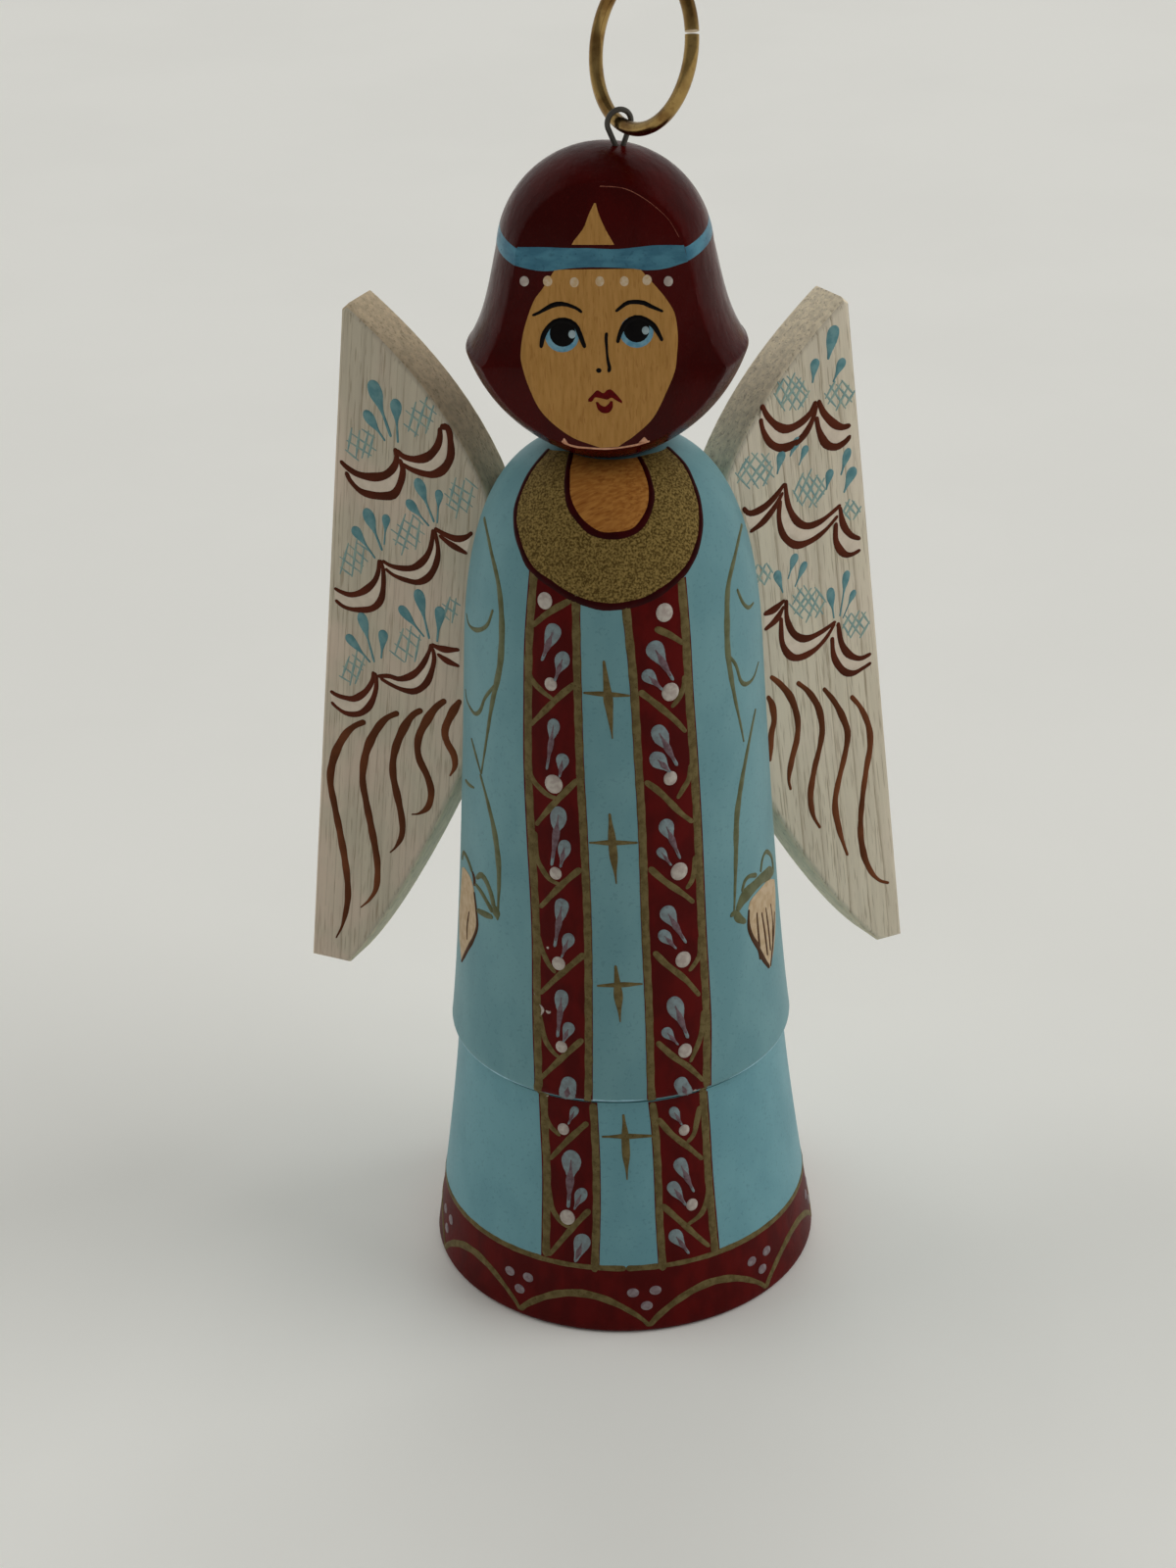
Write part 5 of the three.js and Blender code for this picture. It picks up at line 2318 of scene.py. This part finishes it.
RIGHT_ART = WingArt(
    side="right",
    scallops=(
        ((777, 413), (783, 425), (793, 435), (803, 438), (815, 433), (826, 423), (833, 409)),
        (
            (776, 427), (779, 440), (786, 452), (797, 457), (810, 453), (821, 443), (829, 428),
            (833, 413),
        ),
        ((835, 408), (840, 421), (850, 432), (859, 436), (868, 434)),
        ((833, 425), (836, 440), (843, 453), (853, 456), (862, 451), (868, 444)),
        ((758, 518), (765, 524), (778, 519), (790, 508), (801, 493)),
        ((765, 543), (778, 533), (790, 518), (799, 502)),
        ((801, 493), (804, 515), (812, 531), (823, 537), (836, 533), (848, 524), (858, 515)),
        ((796, 510), (795, 530), (800, 547), (812, 556), (827, 552), (842, 541), (855, 526)),
        ((857, 517), (860, 535), (868, 546), (878, 550)),
        ((853, 533), (853, 552), (860, 564), (868, 566), (878, 561)),
        ((779, 627), (790, 622), (801, 612)),
        ((780, 643), (792, 632), (800, 618)),
        ((802, 612), (803, 632), (810, 647), (822, 652), (838, 645), (853, 634)),
        ((797, 630), (798, 655), (805, 668), (815, 671), (830, 664), (842, 652), (852, 636)),
        ((855, 635), (858, 655), (865, 667), (877, 672), (889, 667)),
        ((849, 650), (851, 670), (860, 684), (870, 687), (880, 682), (889, 676)),
    ),
    feathers=(
        ((783, 710), (788, 720), (790, 735), (787, 750), (786, 777)),
        (
            (786, 690), (797, 699), (808, 714), (814, 735), (813, 755), (808, 775), (805, 795),
            (807, 806),
        ),
        (
            (813, 696), (825, 706), (835, 722), (839, 742), (837, 760), (831, 785), (827, 812),
            (830, 832), (837, 845),
        ),
        (
            (840, 702), (852, 717), (862, 737), (865, 752), (861, 775), (855, 800), (852, 822),
            (856, 845), (861, 862),
            (865, 873),
        ),
        (
            (868, 710), (878, 722), (886, 740), (888, 760), (884, 785), (880, 815), (878, 845),
            (881, 870), (888, 888), (897, 898), (907, 901),
        ),
    ),
    drops=(
        Drop((850, 341), (845, 367), 0.9), Drop((858.5, 371), (850, 390), 0.6),
        Drop((831.5, 372), (829, 391), 0.6), Drop((812.5, 451), (806, 466), 0.56),
        Drop((821.5, 459), (815, 475), 0.48), Drop((797, 466), (793, 484), 0.58),
        Drop((864.5, 463), (858, 485), 0.6), Drop((869, 483), (861, 503), 0.7),
        Drop((846.5, 484), (843, 500), 0.54), Drop((810.5, 570), (804, 591), 0.54),
        Drop((820, 578), (811, 599), 0.54), Drop((793.5, 588), (799, 605), 0.54),
        Drop((863.5, 588), (857, 629), 0.58), Drop((847.5, 606), (851, 631), 0.6),
        Drop((870.5, 606), (860, 631), 0.44),
    ),
    hatches=(
        Hatch((808, 401), (13, 25)), Hatch((857, 402), (10, 22)), Hatch((771, 480), (14, 27)),
        Hatch((827, 500), (13, 24)), Hatch((868, 520), (7, 16)), Hatch((777, 586), (8, 19)),
        Hatch((825, 615), (13, 25)), Hatch((873, 637), (9, 22)),
    ),
    hatch_ways=((0.5, -0.87), (0.6, 0.8)),
    hatch_gap=7.2,
    hatch_widths=((0.22, 0.4, 0.22), (0.17, 0.31, 0.17)),
    scallop_widths=(0.6, 0.95, 0.5),
    feather_widths=(0.55, 0.9, 0.8, 0.9, 0.35),
)


@dataclass
class Studio:
    """A pale floor under soft light. The surroundings are dimmer in front and overhead."""

    floor_size: float = 4.0
    surround: float = 0.5
    overhead: float = 0.16
    front_share: float = 0.2
    front_edge: Pair = (-0.5, 0.3)
    overhead_edge: Pair = (0.72, 0.84)
    tint: tuple[float, float, float, float] = (1.0, 1.0, 0.97, 1.0)
    lights: tuple[tuple[str, Triple, float, float], ...] = (
        ("window_right", (2.1, -0.2, 1.8), 2.2, 27.0),
        ("window_left", (-2.1, 0.3, 1.8), 2.2, 12.0),
        ("window_back", (0.0, 2.6, 2.2), 2.4, 17.0),
    )
    aim: Triple = (0.0, 0.0, 0.05)

    def build(self) -> None:
        """Lays the floor, hangs the lights and sets the surroundings."""
        Bench.clear()
        bpy.ops.mesh.primitive_plane_add(size=self.floor_size)
        floor = Bench.begin("studio_floor")
        Bench.dress(floor, FLOOR_PAPER)
        for name, place, size, power in self.lights:
            self.hang(name, place, size, power)
        self.surroundings()
        bpy.context.scene.view_settings.view_transform = "Standard"

    def hang(self, name: str, place: Triple, size: float, power: float) -> None:
        """Hangs a round soft light that shines on the object.

        Args:
            name: Name of the light.
            place: Where it hangs, in metres.
            size: Its diameter in metres.
            power: Its power in watts.
        """
        bpy.ops.object.light_add(type="AREA", location=place)
        lamp = bpy.context.object
        lamp.name = name
        lamp.data.shape = "DISK"
        lamp.data.size = size
        lamp.data.energy = power
        lamp.visible_glossy = False
        way = Vector(self.aim) - Vector(place)
        lamp.rotation_euler = way.to_track_quat("-Z", "Y").to_euler()

    def surroundings(self) -> None:
        """Sets the light that comes from all round."""
        world = bpy.data.worlds.new("studio_world")
        world.use_nodes = True
        sheet = Sheet(world.node_tree, "Background")
        way = sheet.node("ShaderNodeTexCoord").outputs["Generated"]
        parts = sheet.node("ShaderNodeSeparateXYZ", None, {0: way}).outputs
        back, up = Value(sheet, parts[1]), Value(sheet, parts[2])
        around = self.front_share + (1 - self.front_share) * back.within(*self.front_edge)
        low = 1 - up.within(*self.overhead_edge)
        strength = self.overhead + (self.surround - self.overhead) * around * low
        sheet.shade(color=self.tint, strength=strength)
        bpy.context.scene.world = world


# Each wing's rim tone is bare wood made lighter to paint in the light on its upper edges, the right
# wing's most.
WINGS = (
    WingBoard(
        "wing_left", side=-1, sweep=27.0, let_in=4.6, middle=60.35, upper_length=37.4,
        lower_tip_width=4.55, feather_width=9.55, trail_inset=3.1, wash=(206, 196, 175),
        blush=(226, 202, 184), rim=(220, 200, 168), ring_share=0.35, ring_gap=1.0,
    ),
    WingBoard(
        "wing_right", side=1, sweep=33.0, let_in=5.6, middle=59.65, upper_length=36.95,
        lower_tip_width=3.1, feather_width=9.15, trail_inset=1.8, wash=(222, 212, 190),
        blush=(226, 213, 194), rim=(254, 240, 210), ring_share=0.55, ring_gap=1.8,
    ),
)


def main() -> None:
    """Builds the figure, its painting, the hanger and the studio."""
    logging.basicConfig(level=logging.INFO, format="%(name)s %(message)s")
    camera = PhotoCamera()
    camera.build()
    dress = Dress()
    head = Head()
    dress.build_skirt()
    dress.build_robe([wing.slot(dress) for wing in WINGS])
    head.build()
    for wing in WINGS:
        wing.build(dress)
    Hanger().build()
    Bench.dress(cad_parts["neck_dowel"], DOWEL_WOOD)
    DressPainting(camera, dress.face()).build()
    FacePainting(camera, head.face()).build()
    for wing, art in zip(WINGS, (LEFT_ART, RIGHT_ART)):
        WingPainting(camera, wing.face(dress), art).build()
    Studio().build()


if __name__ == "__main__":
    main()
